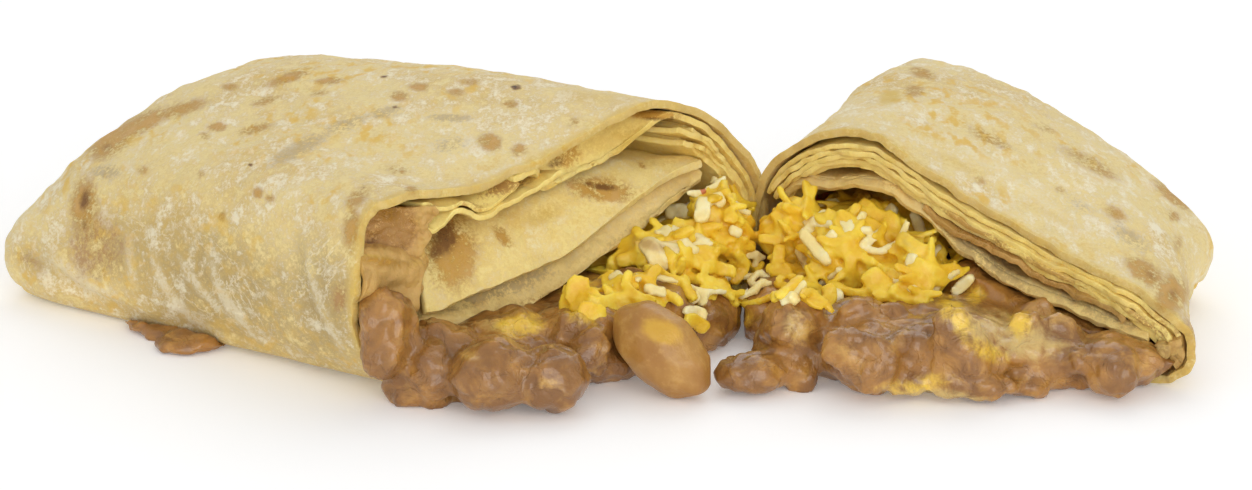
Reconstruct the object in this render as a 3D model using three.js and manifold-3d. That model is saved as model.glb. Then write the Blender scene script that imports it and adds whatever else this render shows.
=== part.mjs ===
// A bean and cheese burrito, cut almost through on a slant and opened like a V.
// The two halves still hang together at the far end of the cut, the hinge.
// Millimetres, +Z up, resting on z = 0, origin under the middle of its box.
import * as THREE from 'three';
import { mergeVertices } from 'three/addons/utils/BufferGeometryUtils.js';
import Module from 'manifold-3d';

const wasm = await Module();
wasm.setup();

// ---- Driving dimensions ------------------------------------------------------------------
const HINGE = new THREE.Vector2(23.65, 3.24);
const WRAP_WALL = 1.6;
const PLY_THICKNESS = 1.1;
const FOLD_THICKNESS = 1.5;
const CLEARANCE = 0.3;
const END_ROUNDING = 5;
const END_TURNS = [40, 80];
const RING_POINTS = 26;
const AROUND = Array.from({ length: RING_POINTS }, (_, k) => k / RING_POINTS);
const FLOOR_SHARE = 0.29;
const LEVEL_STEPS = 3;
const SINKING_STEPS = 6;
const LUMP_SIDES = 8;
const LUMP_RINGS = 5;
const SKY = 60;
const DEEP = -5;
const DEGREE = Math.PI / 180;

// Each half is a flattened roll. Its outlines go round from the hinge side of the floor, along
// the floor, up the near side and back over the top: [fraction across the roll, height in mm].
const LEFT = {
  cutWidth: 75,
  cutAzimuth: 221.7,
  normalAzimuth: -48.3,
  farSide: { length: 92.5, azimuth: 152.3 },
  nearSide: { length: 79.0, azimuth: 142.5 },
  depth: 86,
  endHeight: 0.72,
  stations: [
    { along: 0, outline: [[0.06, 0], [0.47, 0], [0.87, 0], [1.02, 4.8], [1.06, 16], [1.03, 27],
      [0.94, 30], [0.75, 28.6], [0.54, 31.3], [0.32, 34.5], [0.12, 29.1], [-0.013, 17.5], [-0.03, 6]] },
    { along: 0.4, outline: [[0.08, 0], [0.48, 0], [0.91, 0], [1.0, 4.2], [1.03, 12], [1.0, 22],
      [0.92, 27.4], [0.75, 30.2], [0.54, 32.5], [0.32, 33.9], [0.1, 30.2], [-0.02, 16], [-0.03, 6]] },
    { along: 0.8, outline: [[0.08, 0], [0.5, 0], [0.93, 0], [1.02, 2.2], [1.045, 6], [1.01, 12.4],
      [0.93, 19.8], [0.78, 24.8], [0.57, 29.1], [0.32, 31.1], [0.08, 29.1], [-0.04, 16], [-0.03, 5]] },
    { along: 1, outline: [[0.1, 0], [0.5, 0], [0.91, 0], [0.99, 1.8], [1.03, 5.4], [1.01, 8.8],
      [0.93, 12.4], [0.79, 16.8], [0.6, 21.4], [0.33, 24.6], [0.05, 25.6], [-0.05, 15], [-0.03, 5]] },
  ],
};
const RIGHT = {
  cutWidth: 77,
  cutAzimuth: -38,
  normalAzimuth: -128,
  farSide: { length: 62.2, azimuth: 62.2 },
  nearSide: { length: 48.1, azimuth: 80.1 },
  depth: 55,
  endHeight: 0.86,
  stations: [
    { along: 0, outline: [[0.03, 0], [0.5, 0], [0.89, 0], [0.97, 2], [0.998, 5.4], [0.975, 10],
      [0.86, 14.6], [0.7, 17.6], [0.53, 21.4], [0.42, 24.5], [0.28, 28.5], [0.13, 26.6], [0, 17]] },
    { along: 0.5, outline: [[0.06, 0], [0.5, 0], [0.88, 0], [0.955, 2], [0.985, 5.8], [0.97, 11.4],
      [0.86, 17.6], [0.7, 21.8], [0.53, 25.4], [0.38, 27.4], [0.22, 28.2], [0.04, 24.6], [-0.02, 10]] },
    { along: 1, outline: [[0.06, 0], [0.5, 0], [0.9, 0], [1.01, 2.3], [1.065, 6.4], [1.05, 11.6],
      [0.9, 16], [0.72, 19.9], [0.53, 22.9], [0.38, 24.7], [0.2, 25.8], [0.02, 23.6], [-0.04, 9]] },
  ],
};

// ---- Places in a half --------------------------------------------------------------------
function direction(azimuth) {
  return new THREE.Vector2(Math.cos(azimuth * DEGREE), Math.sin(azimuth * DEGREE));
}

function cornersOf(half) {
  const hinge = HINGE.clone();
  const nearCut = hinge.clone().addScaledVector(direction(half.cutAzimuth), half.cutWidth);
  const farEnd = hinge.clone().addScaledVector(direction(half.farSide.azimuth), half.farSide.length);
  const nearEnd = nearCut.clone().addScaledVector(direction(half.nearSide.azimuth), half.nearSide.length);
  return { hinge, nearCut, nearEnd, farEnd };
}

// The floor point a fraction across the roll and a fraction along it. Ahead of the cut it goes
// straight out along the cut's normal.
function floorPoint(half, across, along) {
  const { hinge, nearCut, nearEnd, farEnd } = half.corners;
  const inside = Math.max(along, 0);
  const far = hinge.clone().lerp(farEnd, inside);
  const near = nearCut.clone().lerp(nearEnd, inside);
  const proud = Math.max(-along, 0) * half.depth;
  return far.lerp(near, across).addScaledVector(direction(half.normalAzimuth), proud);
}

// A point `across` mm from the hinge, `height` mm up and `depth` mm into the half.
function cutPoint(half, across, height, depth) {
  const along = depth / half.depth;
  const floor = floorPoint(half, across / half.cutWidth, along);
  const lower = 1 - (1 - half.endHeight) * Math.max(along, 0);
  return new THREE.Vector3(floor.x, floor.y, height * lower);
}

for (const half of [LEFT, RIGHT]) {
  half.corners = cornersOf(half);
  half.tracks = half.stations[0].outline.map((_, k) => new THREE.CatmullRomCurve3(
    half.stations.map(({ along, outline }) => {
      const floor = floorPoint(half, outline[k][0], along);
      return new THREE.Vector3(floor.x, floor.y, outline[k][1]);
    }), false, 'catmullrom', 0.5));
}

// ---- Solids ------------------------------------------------------------------------------
function solidOf(vertices, triangles) {
  const vertProperties = new Float32Array(vertices.flatMap((v) => [v.x, v.y, v.z]));
  const mesh = new wasm.Mesh({ numProp: 3, vertProperties, triVerts: new Uint32Array(triangles) });
  return new wasm.Manifold(mesh);
}

function solidFrom(geometry) {
  geometry.deleteAttribute('normal');
  geometry.deleteAttribute('uv');
  const merged = mergeVertices(geometry, 1e-4);
  const position = merged.getAttribute('position');
  const vertices = Array.from({ length: position.count }, (_, k) => (
    new THREE.Vector3().fromBufferAttribute(position, k)));
  return solidOf(vertices, Array.from(merged.index.array));
}

// Rings of points joined into a closed solid, with a fan over each end.
function loft(rings) {
  const count = rings[0].length;
  const vertices = rings.flat();
  const triangles = [];
  for (let r = 0; r + 1 < rings.length; r += 1) {
    for (let k = 0; k < count; k += 1) {
      const a = r * count + k;
      const b = r * count + (k + 1) % count;
      triangles.push(a, b, b + count, a, b + count, a + count);
    }
  }
  const ends = [[rings[0], 0, false], [rings.at(-1), vertices.length - count, true]];
  for (const [ring, start, forward] of ends) {
    const middle = vertices.length;
    vertices.push(ring.reduce((sum, p) => sum.add(p), new THREE.Vector3()).divideScalar(count));
    for (let k = 0; k < count; k += 1) {
      const a = start + k;
      const b = start + (k + 1) % count;
      triangles.push(...(forward ? [a, b, middle] : [b, a, middle]));
    }
  }
  const flip = signedVolume(vertices, triangles) < 0;
  return solidOf(vertices, flip ? triangles.reverse() : triangles);
}

function signedVolume(vertices, triangles) {
  let volume = 0;
  for (let k = 0; k < triangles.length; k += 3) {
    const [a, b, c] = [vertices[triangles[k]], vertices[triangles[k + 1]], vertices[triangles[k + 2]]];
    volume += a.dot(b.clone().cross(c)) / 6;
  }
  return volume;
}

// The roll's outline a fraction along a half, moved in by `inset` mm, at shares of the way round.
function outlineAt(half, along, inset, shares = AROUND) {
  const last = half.stations.length - 1;
  const next = Math.max(1, half.stations.findIndex((station) => along <= station.along));
  const from = half.stations[Math.min(next, last) - 1].along;
  const to = half.stations[Math.min(next, last)].along;
  const place = (Math.min(next, last) - 1 + (along - from) / (to - from)) / last;
  const controls = half.tracks.map((track) => track.getPoint(THREE.MathUtils.clamp(place, 0, 1)));
  const curve = new THREE.CatmullRomCurve3(controls, true, 'catmullrom', 0.5);
  const floorEnds = [curve.getPoint(FLOOR_SHARE), curve.getPoint(0)];
  const chord = new THREE.Vector3().subVectors(...floorEnds).setZ(0).normalize();
  return shares.map((share) => {
    const point = curve.getPoint(share);
    const ahead = curve.getPoint((share + 1 / RING_POINTS) % 1);
    const behind = curve.getPoint((share + 1 - 1 / RING_POINTS) % 1);
    const run = new THREE.Vector3().subVectors(ahead, behind);
    const flat = new THREE.Vector2(run.dot(chord), run.z).normalize();
    const moved = point.clone().addScaledVector(chord, -flat.y * inset);
    moved.z = Math.max(point.z, 0) + flat.x * inset;
    return moved;
  });
}

function aheadOfCut(half, ring, distance) {
  const out = direction(half.normalAzimuth).multiplyScalar(distance);
  return ring.map((p) => new THREE.Vector3(p.x + out.x, p.y + out.y, p.z));
}

// A whole roll from the cut to its rounded closed end, moved in by `inset` all round. With
// `proud`, it reaches that far ahead of the cut.
function roll(half, inset, steps, proud = 0) {
  const rounding = END_ROUNDING / half.depth;
  const end = 1 - inset / half.depth;
  const rings = proud > 0 ? [aheadOfCut(half, outlineAt(half, 0, inset), proud)] : [];
  for (let k = 0; k <= steps; k += 1) {
    rings.push(outlineAt(half, (end - rounding) * k / steps, inset));
  }
  for (const turn of END_TURNS) {
    const along = end - rounding * (1 - Math.sin(turn * DEGREE));
    rings.push(outlineAt(half, along, inset + END_ROUNDING * (1 - Math.cos(turn * DEGREE))));
  }
  return loft(rings);
}

// A bent sheet of even thickness: `place(a, b)` gives its middle surface for a, b in 0..1.
function sheet(place, acrossSteps, alongSteps, thickness) {
  const upper = [];
  const lower = [];
  const nudge = 1e-3;
  for (let j = 0; j <= alongSteps; j += 1) {
    for (let i = 0; i <= acrossSteps; i += 1) {
      const [a, b] = [i / acrossSteps, j / alongSteps];
      const alongA = new THREE.Vector3().subVectors(place(a + nudge, b), place(a - nudge, b));
      const alongB = new THREE.Vector3().subVectors(place(a, b + nudge), place(a, b - nudge));
      const normal = alongA.cross(alongB).normalize();
      upper.push(place(a, b).addScaledVector(normal, thickness / 2));
      lower.push(place(a, b).addScaledVector(normal, -thickness / 2));
    }
  }
  const width = acrossSteps + 1;
  const rim = [];
  for (let i = 0; i < acrossSteps; i += 1) rim.push(i);
  for (let j = 0; j < alongSteps; j += 1) rim.push(j * width + acrossSteps);
  for (let i = acrossSteps; i > 0; i -= 1) rim.push(alongSteps * width + i);
  for (let j = alongSteps; j > 0; j -= 1) rim.push(j * width);
  const triangles = [];
  const under = upper.length;
  for (let j = 0; j < alongSteps; j += 1) {
    for (let i = 0; i < acrossSteps; i += 1) {
      const a = j * width + i;
      triangles.push(a, a + 1, a + 1 + width, a, a + 1 + width, a + width);
      triangles.push(under + a + 1, under + a, under + a + 1 + width);
      triangles.push(under + a + 1 + width, under + a, under + a + width);
    }
  }
  rim.forEach((a, k) => {
    const b = rim[(k + 1) % rim.length];
    triangles.push(b, a, under + a, b, under + a, under + b);
  });
  const vertices = [...upper, ...lower];
  const flip = signedVolume(vertices, triangles) < 0;
  return solidOf(vertices, flip ? triangles.reverse() : triangles);
}

function splineThrough(points) {
  const curve = new THREE.CatmullRomCurve3(points.map(([x, y]) => new THREE.Vector3(x, y, 0)));
  return (t) => {
    if (t >= 0 && t <= 1) return curve.getPoint(t);
    const end = THREE.MathUtils.clamp(t, 0, 1);
    return curve.getPoint(end).addScaledVector(curve.getTangent(end), (t - end) * curve.getLength());
  };
}

// A ply of tortilla running from the cut into a half, with `line` as its edge at the cut.
function ply(half, line, depth, thickness, acrossSteps) {
  const edge = splineThrough(line);
  const place = (a, b) => cutPoint(half, edge(a).x, edge(a).y, b * depth);
  return sheet(place, acrossSteps, LEVEL_STEPS, thickness);
}

// A turn of tortilla that follows the roll's outline `inset` mm in, between two shares of the
// way round. `slack`, given the place across the cut, says where it has slid back and sunk.
function turn(half, { inset, from, to, depth, steps, slack, lead = 0 }, thickness) {
  const place = (a, b) => {
    const share = THREE.MathUtils.lerp(from, to, a);
    const [front] = outlineAt(half, 0, inset, [share]);
    const across = new THREE.Vector2(front.x, front.y).distanceTo(HINGE);
    const start = slack ? SLACK.crest * slack(across) - lead : -lead;
    const inside = THREE.MathUtils.lerp(start, depth, b);
    const [point] = outlineAt(half, Math.max(inside, 0) / half.depth, inset, [share]);
    if (slack) point.z = sunkHeight(point.z, across, inside);
    return aheadOfCut(half, [point], Math.max(-inside, 0))[0];
  };
  return sheet(place, steps, slack ? SINKING_STEPS : LEVEL_STEPS, thickness);
}

// Everything over (or under) a line drawn on the cut, as a block through the half.
function blockBeside(half, line, height, proud, depth, acrossSteps) {
  const edge = splineThrough(line);
  const points = Array.from({ length: acrossSteps + 1 }, (_, k) => edge(k / acrossSteps));
  const outline = [...points.map((p) => [p.x, p.y]), [line.at(-1)[0], height], [line[0][0], height]];
  const ringAt = (d) => outline.map(([x, z]) => cutPoint(half, x, z, d));
  return loft([ringAt(-proud), ringAt(0), ringAt(depth / 2), ringAt(depth)]);
}

// A lump: an ellipsoid with half-axes `size`, turned about Z by `yaw` and tipped by `pitch`.
function lump({ at, size, yaw = 0, pitch = 0, grow = 0 }) {
  const geometry = new THREE.SphereGeometry(1, LUMP_SIDES, LUMP_RINGS);
  geometry.scale(size[0] + grow, size[1] + grow, size[2] + grow);
  geometry.rotateY(pitch * DEGREE);
  geometry.rotateZ(yaw * DEGREE);
  geometry.translate(HINGE.x + at[0], HINGE.y + at[1], at[2]);
  return solidFrom(geometry);
}

function joined(solids) {
  return solids.reduce((whole, solid) => whole.add(solid));
}

function cutFrom(solid, tools) {
  return tools.reduce((rest, tool) => rest.subtract(tool), solid);
}

// ---- The tortilla ------------------------------------------------------------------------
const PROUD = 1.5;
const OUTER_STEPS = 6;
const INNER_STEPS = 4;

function cup(half) {
  return roll(half, 0, OUTER_STEPS).subtract(roll(half, WRAP_WALL, INNER_STEPS, 2 * PROUD));
}

const wrap = cup(LEFT).add(cup(RIGHT));

// The whole space that each half takes up, with the clearance that its neighbours keep.
const envelopes = [LEFT, RIGHT].map((half) => roll(half, -CLEARANCE, OUTER_STEPS, CLEARANCE));
const leftRoom = roll(LEFT, WRAP_WALL + CLEARANCE, INNER_STEPS, PROUD).subtract(envelopes[1]);
const rightRoom = roll(RIGHT, WRAP_WALL + CLEARANCE, INNER_STEPS, PROUD).subtract(envelopes[0]);

// Edges of the inner turns at the left cut: [across, height] in mm.
const LEFT_RUFFLE = [[66, 24.4], [62, 24.3], [58.5, 22.6], [54, 23], [50, 23.7], [46, 24.3],
  [43, 24.4]];
const LEFT_SIDE = [[67, 27.6], [67.6, 22], [68.8, 16.6], [71, 10.6]];
const LEFT_LINING = [[69, 9.2], [61, 8.4], [52, 8.6], [42, 9.6], [33, 10.6], [25.5, 13], [20, 16],
  [14.5, 18.6], [10.5, 19.4]];
const FOLD_LOWER = [[66, 11.6], [58, 11.9], [50, 12.8], [41, 14], [35, 16.6], [28, 19.4],
  [20, 21.2], [13, 21.4]];
const FOLD_UPPER = [[64, 21.2], [57, 20.4], [50, 21], [42, 21.6], [35, 22.8], [28, 23.4],
  [20, 23.4], [13, 22]];
const FOLD_SLOPE_DEPTH = 10;
const PLY_DEPTH = 60;

// The turns lie in one another like the pages of a bent book, TURN_PITCH apart. The filling
// keeps TURN_ROOM off them, which is EDGE_SHARE of the way round for each millimetre.
const TURN_PITCH = 1.5;
const FIRST_INSET = 2.8;
const TURN_ROOM = 0.45;
const EDGE_SHARE = 0.012;
const SLACK = { starts: [18, 28], stops: [38, 46], crest: 6.5, risen: 14, overFold: 2.2 };
const TURNS_LEFT = {
  second: { inset: FIRST_INSET, from: 0.572, to: 0.905, depth: PLY_DEPTH, steps: 16, slack: slackSecond },
  third: { inset: FIRST_INSET + TURN_PITCH, from: 0.733, to: 0.908, depth: 50, steps: 9 },
  fourth: { inset: FIRST_INSET + 2 * TURN_PITCH, from: 0.745, to: 0.905, depth: 50, steps: 9 },
};
const TURNS_RIGHT = {
  second: { inset: FIRST_INSET, from: 0.45, to: 0.925, depth: 36, steps: 14 },
  third: { inset: FIRST_INSET + TURN_PITCH, from: 0.45, to: 0.925, depth: 36, steps: 14 },
  fourth: { inset: FIRST_INSET + 2 * TURN_PITCH, from: 0.45, to: 0.69, depth: 26, steps: 8 },
};

function heightOn(line, across) {
  const next = Math.max(1, line.findIndex(([x]) => x <= across));
  const [[x0, z0], [x1, z1]] = [line[next - 1], line[next]];
  return THREE.MathUtils.clamp(THREE.MathUtils.mapLinear(across, x0, x1, z0, z1), 0, SKY);
}

// Over the big fold the second turn has slid back: it starts behind the fold's crest, lies on
// the fold there, and rises to its place under the outer turn farther in.
function slackSecond(across) {
  const { smoothstep } = THREE.MathUtils;
  return smoothstep(across, ...SLACK.starts) * (1 - smoothstep(across, ...SLACK.stops));
}

function sunkHeight(height, across, depth) {
  const { smoothstep, lerp } = THREE.MathUtils;
  const fallen = slackSecond(across) * (1 - smoothstep(depth, SLACK.crest, SLACK.risen));
  return lerp(height, Math.min(height, heightOn(FOLD_UPPER, across) + SLACK.overFold), fallen);
}

// The turns themselves, or with a clearance the room that each keeps from the filling.
function turnsOf(half, turns, clearance) {
  const slip = clearance * EDGE_SHARE;
  const thickness = PLY_THICKNESS + 2 * clearance;
  return Object.values(turns).map((spec) => turn(half, { ...spec, from: spec.from - slip,
    to: spec.to + slip, depth: spec.depth + clearance, lead: clearance }, thickness));
}

const [secondLeft, thirdLeft, fourthLeft] = turnsOf(LEFT, TURNS_LEFT, 0);
const [secondRight, thirdRight, fourthRight] = turnsOf(RIGHT, TURNS_RIGHT, 0);
const turnRooms = [...turnsOf(LEFT, TURNS_LEFT, TURN_ROOM), ...turnsOf(RIGHT, TURNS_RIGHT, TURN_ROOM)];
const ruffleLeft = ply(LEFT, LEFT_RUFFLE, PLY_DEPTH, PLY_THICKNESS, 10);
const sideLeft = ply(LEFT, LEFT_SIDE, PLY_DEPTH / 2, PLY_THICKNESS, 6);
const liningLeft = ply(LEFT, LEFT_LINING, PLY_DEPTH, PLY_THICKNESS, 12);

// The big inner fold: its lower edge hangs at the cut, its face leans back into the roll.
function foldPlace(a, b) {
  const lower = splineThrough(FOLD_LOWER)(a);
  const upper = splineThrough(FOLD_UPPER)(a);
  const depth = b * PLY_DEPTH / 2;
  const rise = THREE.MathUtils.clamp(depth / FOLD_SLOPE_DEPTH, b < 0 ? b : 0, 1);
  return cutPoint(LEFT, THREE.MathUtils.lerp(lower.x, upper.x, rise),
    THREE.MathUtils.lerp(lower.y, upper.y, rise), Math.max(depth, 0));
}
const foldLeft = sheet(foldPlace, 11, 5, FOLD_THICKNESS);

const RIGHT_LINING = [[8, 17.6], [13.6, 19], [19, 20.2], [24, 20.2], [28, 18.4], [32.5, 15.8],
  [38, 12.8], [46, 9.9], [54.6, 8.6], [62, 7.4], [68.5, 6.6]];
const liningRight = ply(RIGHT, RIGHT_LINING, 36, PLY_THICKNESS, 14);

// ---- The filling -------------------------------------------------------------------------
const BELOW_PLY = PLY_THICKNESS / 2 + 1.6 * CLEARANCE;
const FILL_DEPTH = { left: 78, right: 47 };

function lowered(line, drop, [startX, startZ], [endX, endZ]) {
  return [[startX, startZ - drop], ...line.map(([x, z]) => [x, z - drop]), [endX, endZ - drop]];
}

const overLiningLeft = blockBeside(LEFT, lowered(LEFT_LINING, BELOW_PLY, [84, 9.4], [-8, 15]),
  SKY, 3 * PROUD, 90, 9);
const overLiningRight = blockBeside(RIGHT, lowered(RIGHT_LINING, BELOW_PLY, [-8, 14], [84, 3.5]),
  SKY, 3 * PROUD, 90, 12);

// Where the cheese ends and the beans start, as lines across each cut.
const CHEESE_FOOT_LEFT = [[-8, 7], [4, 6.5], [14, 6.8], [24, 8], [32, 9.6], [44, 12],
  [90, 14]];
const CHEESE_FOOT_RIGHT = [[-8, 7], [4, 7.5], [14, 8], [24, 8.6], [34, 10], [46, 15],
  [90, 16]];

function shifted(line, rise) {
  return line.map(([x, z]) => [x, z + rise]);
}

function fillings(half, room, overLining, foot, depth) {
  const inside = cutFrom(room, [overLining, ...turnRooms]);
  const deepest = blockBeside(half, [[-20, DEEP], [100, DEEP]], SKY, -depth, 90, 1);
  const underFoot = blockBeside(half, foot, DEEP, 3 * PROUD, 90, 6);
  const overFoot = blockBeside(half, shifted(foot, -CLEARANCE), SKY, PROUD + CLEARANCE, 90, 6);
  return {
    cheese: cutFrom(inside, [deepest, underFoot]),
    beans: cutFrom(inside, [deepest, overFoot]),
    overFoot,
  };
}

const leftFill = fillings(LEFT, leftRoom, overLiningLeft, CHEESE_FOOT_LEFT, FILL_DEPTH.left);
const rightFill = fillings(RIGHT, rightRoom, overLiningRight, CHEESE_FOOT_RIGHT, FILL_DEPTH.right);

// Lumps are placed from the hinge: at [x, y, height], with half-axes [x, y, z].
const MASH_LEFT = [
  { at: [-53, -50.4, 8], size: [3.6, 3.8, 9.6] },
  { at: [-48, -47, 5], size: [8, 6, 6.6] },
  { at: [-38, -41, 4], size: [14, 9, 6.6] },
  { at: [-25, -39, 5], size: [10, 9, 6.6] },
  { at: [-20, -31, 6], size: [11, 10, 7] },
  { at: [-12, -20, 3], size: [10, 14, 6.6] },
  { at: [-30, -30, 2], size: [19, 11, 7] },
];
const MASH_RIGHT = [
  { at: [4, -18, 3], size: [10, 15, 6] },
  { at: [24, -32, 2.4], size: [25, 14, 7] },
  { at: [4, -39, 4.4], size: [7, 8, 5.4] },
  { at: [13, -38, 4.5], size: [9, 10, 6.6] },
  { at: [15, -45, 5], size: [8, 7, 5.8] },
  { at: [26, -44, 5], size: [11, 8.6, 6.6] },
  { at: [38, -43.5, 4.6], size: [10, 6.6, 6] },
  { at: [49, -44.5, 3.6], size: [9, 4, 5] },
];
const CHEESE_LUMPS_LEFT = [
  { at: [-7, -10.5, 15], size: [7, 7.5, 8] },
  { at: [-13.5, -17.5, 13.4], size: [8, 7, 5.4] },
];
const CHEESE_LUMPS_RIGHT = [
  { at: [5.5, -9, 14], size: [6.5, 6.5, 7.4] },
  { at: [14, -17, 13], size: [8.5, 6.4, 8] },
  { at: [22.5, -24, 12], size: [6, 5.4, 6] },
];
const WHOLE_BEANS = {
  bean_whole: { at: [-15.6, -47.6, 6.9], size: [9.3, 5.4, 5.8], yaw: -28, pitch: 37 },
  bean_pair_left: { at: [-39.6, -55, 5.6], size: [6.6, 6, 5.6], yaw: 20 },
  bean_pair_right: { at: [-31.2, -54.6, 5.1], size: [5.6, 5.6, 5.1], yaw: -10 },
  bean_right_front: { at: [-2.6, -47, 3], size: [6, 4.2, 3], yaw: 10 },
  bean_right_middle: { at: [3.4, -42, 8.4], size: [5.6, 4.6, 5.2], yaw: 60 },
  bean_right_corner: { at: [48.6, -48.6, 4.3], size: [4.4, 5.6, 4.3] },
};
const SMEAR = [
  { at: [-85, -28, 1], size: [6, 4.4, 1.9], yaw: 20 },
  { at: [-91, -20.5, 1.2], size: [7.4, 4.6, 2], yaw: -40 },
];

// The two heaps meet along this line from the hinge.
const PARTING_AZIMUTH = 262.5;

function floorBlock(corners, low, high) {
  const ringAt = (z) => corners.map(([x, y]) => new THREE.Vector3(HINGE.x + x, HINGE.y + y, z));
  return loft([ringAt(low), ringAt(high)]);
}

const parting = direction(PARTING_AZIMUTH).multiplyScalar(120);
const GAP = CLEARANCE / 2;
const rightOfParting = floorBlock([[-GAP, 60], [-GAP, 0], [parting.x - GAP, parting.y], [150, parting.y],
  [150, 60]], DEEP, SKY);
const leftOfParting = floorBlock([[GAP, 60], [-150, 60], [-150, parting.y], [parting.x + GAP, parting.y],
  [GAP, 0]], DEEP, SKY);
const underFloor = floorBlock([[-200, -200], [200, -200], [200, 200], [-200, 200]], -50, 0);
const wholeBeans = Object.entries(WHOLE_BEANS).map(([name, spec]) => (
  { name, solid: lump(spec), grown: lump({ ...spec, grow: CLEARANCE }) }));
const beanRooms = wholeBeans.map((bean) => bean.grown);

// The heap in front of the cut and the filling behind it, less the crumbs that the cuts leave.
function heap(lumps, inside, tools) {
  const front = cutFrom(joined(lumps.map(lump)), [...envelopes, underFloor]);
  const bodies = cutFrom(front.add(inside), tools).decompose();
  return bodies.reduce((largest, body) => (body.volume() > largest.volume() ? body : largest));
}

const cheeseLeft = heap(CHEESE_LUMPS_LEFT, leftFill.cheese, [rightOfParting, ...beanRooms]);
const cheeseRight = heap(CHEESE_LUMPS_RIGHT, rightFill.cheese, [leftOfParting, ...beanRooms]);

function grown(lumps) {
  return joined(lumps.map((spec) => lump({ ...spec, grow: CLEARANCE })));
}
const cheeseRoom = [grown(CHEESE_LUMPS_LEFT), grown(CHEESE_LUMPS_RIGHT)];
const beansLeft = heap(MASH_LEFT, leftFill.beans,
  [leftFill.overFoot, rightOfParting, ...beanRooms, ...cheeseRoom]);
const beansRight = heap(MASH_RIGHT, rightFill.beans,
  [rightFill.overFoot, leftOfParting, ...beanRooms, ...cheeseRoom]);
const smear = cutFrom(joined(SMEAR.map(lump)), [...envelopes, underFloor]);

// ---- The scene graph ---------------------------------------------------------------------
const FINISHES = {
  tortilla: { color: 0xe3d2a4, roughness: 0.75, metalness: 0 },
  fold: { color: 0xecdcae, roughness: 0.7, metalness: 0 },
  beans: { color: 0x9c6d4a, roughness: 0.35, metalness: 0 },
  bean: { color: 0xb5835a, roughness: 0.3, metalness: 0 },
  cheese: { color: 0xeebf3c, roughness: 0.45, metalness: 0 },
};

function meshOf(name, solid, finish) {
  const { vertProperties, triVerts } = solid.getMesh();
  const geometry = new THREE.BufferGeometry();
  geometry.setAttribute('position', new THREE.BufferAttribute(vertProperties, 3));
  geometry.setIndex(new THREE.BufferAttribute(triVerts, 1));
  const mesh = new THREE.Mesh(geometry, new THREE.MeshStandardMaterial(FINISHES[finish]));
  mesh.name = name;
  return mesh;
}

const burrito = new THREE.Group();
burrito.name = 'burrito';
burrito.add(meshOf('tortilla_wrap', wrap, 'tortilla'));
for (const [name, solid, room] of [
  ['second_turn_left', secondLeft, leftRoom],
  ['third_turn_left', thirdLeft, leftRoom],
  ['fourth_turn_left', fourthLeft, leftRoom],
  ['ruffled_turn_left', ruffleLeft, leftRoom],
  ['side_turn_left', sideLeft, leftRoom],
  ['lining_left', liningLeft, leftRoom],
  ['second_turn_right', secondRight, rightRoom],
  ['third_turn_right', thirdRight, rightRoom],
  ['fourth_turn_right', fourthRight, rightRoom],
  ['lining_right', liningRight, rightRoom],
]) {
  burrito.add(meshOf(name, solid.intersect(room), 'tortilla'));
}
burrito.add(meshOf('inner_fold', foldLeft.intersect(leftRoom), 'fold'));
burrito.add(meshOf('beans_left', beansLeft, 'beans'));
burrito.add(meshOf('beans_right', beansRight, 'beans'));
burrito.add(meshOf('bean_smear', smear, 'beans'));
burrito.add(meshOf('cheese_left', cheeseLeft, 'cheese'));
burrito.add(meshOf('cheese_right', cheeseRight, 'cheese'));
wholeBeans.forEach((bean, k) => {
  const earlier = beanRooms.slice(0, k);
  burrito.add(meshOf(bean.name, cutFrom(bean.solid, [...envelopes, underFloor, ...earlier]), 'bean'));
});

export default burrito;
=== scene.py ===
"""A bean and cheese burrito, cut almost through on a slant and opened like a V.

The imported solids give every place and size. This script puts the food over them: the toasted
tortilla with its turns and folds, the mashed beans, whole beans and shredded cheese.
Lengths are millimetres until a mesh is written, heights are Z, and the camera looks along +Y.
"""

import logging
import math
from dataclasses import dataclass
from enum import Enum
from typing import Sequence

import bpy
import numpy as np
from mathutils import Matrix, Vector, noise
from mathutils.bvhtree import BVHTree


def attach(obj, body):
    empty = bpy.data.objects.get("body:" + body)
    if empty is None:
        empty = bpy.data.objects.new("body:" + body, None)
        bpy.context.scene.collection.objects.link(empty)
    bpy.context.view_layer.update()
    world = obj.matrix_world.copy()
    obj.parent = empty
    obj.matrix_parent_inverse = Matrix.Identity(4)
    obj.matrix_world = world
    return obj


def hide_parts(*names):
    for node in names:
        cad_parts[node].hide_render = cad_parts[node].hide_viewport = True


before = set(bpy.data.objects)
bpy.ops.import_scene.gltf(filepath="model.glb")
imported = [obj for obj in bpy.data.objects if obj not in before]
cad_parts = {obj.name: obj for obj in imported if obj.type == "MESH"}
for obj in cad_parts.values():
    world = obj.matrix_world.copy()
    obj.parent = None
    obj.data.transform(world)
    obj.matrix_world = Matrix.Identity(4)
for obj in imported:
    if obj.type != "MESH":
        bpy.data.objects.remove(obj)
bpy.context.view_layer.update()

MM = 0.001
BODY = "root"
HINGE = np.array([23.65, 3.24])
FLOOR_GAP = 0.02
ARC_STEPS = 48
SPLINE_STEPS = 400
SAME_ROW = 1e-5
log = logging.getLogger("burrito")

Points = np.ndarray
Line = Sequence[Sequence[float]]
Place = tuple[float, float]


# ---- Numbers -----------------------------------------------------------------------------
def tone(red: int, green: int, blue: int) -> tuple[float, float, float, float]:
    """Return a screen colour from 0 to 255 as the linear colour that a shader takes."""
    def linear(part: int) -> float:
        """Return one channel as linear light."""
        share = part / 255
        return share / 12.92 if share <= 0.04045 else ((share + 0.055) / 1.055) ** 2.4
    return linear(red), linear(green), linear(blue), 1.0


def smooth(values: Points | float, low: float, high: float) -> Points:
    """Return 0 below low, 1 above high and an even S between them."""
    share = np.clip((np.asarray(values, float) - low) / (high - low), 0, 1)
    return share * share * (3 - 2 * share)


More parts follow.
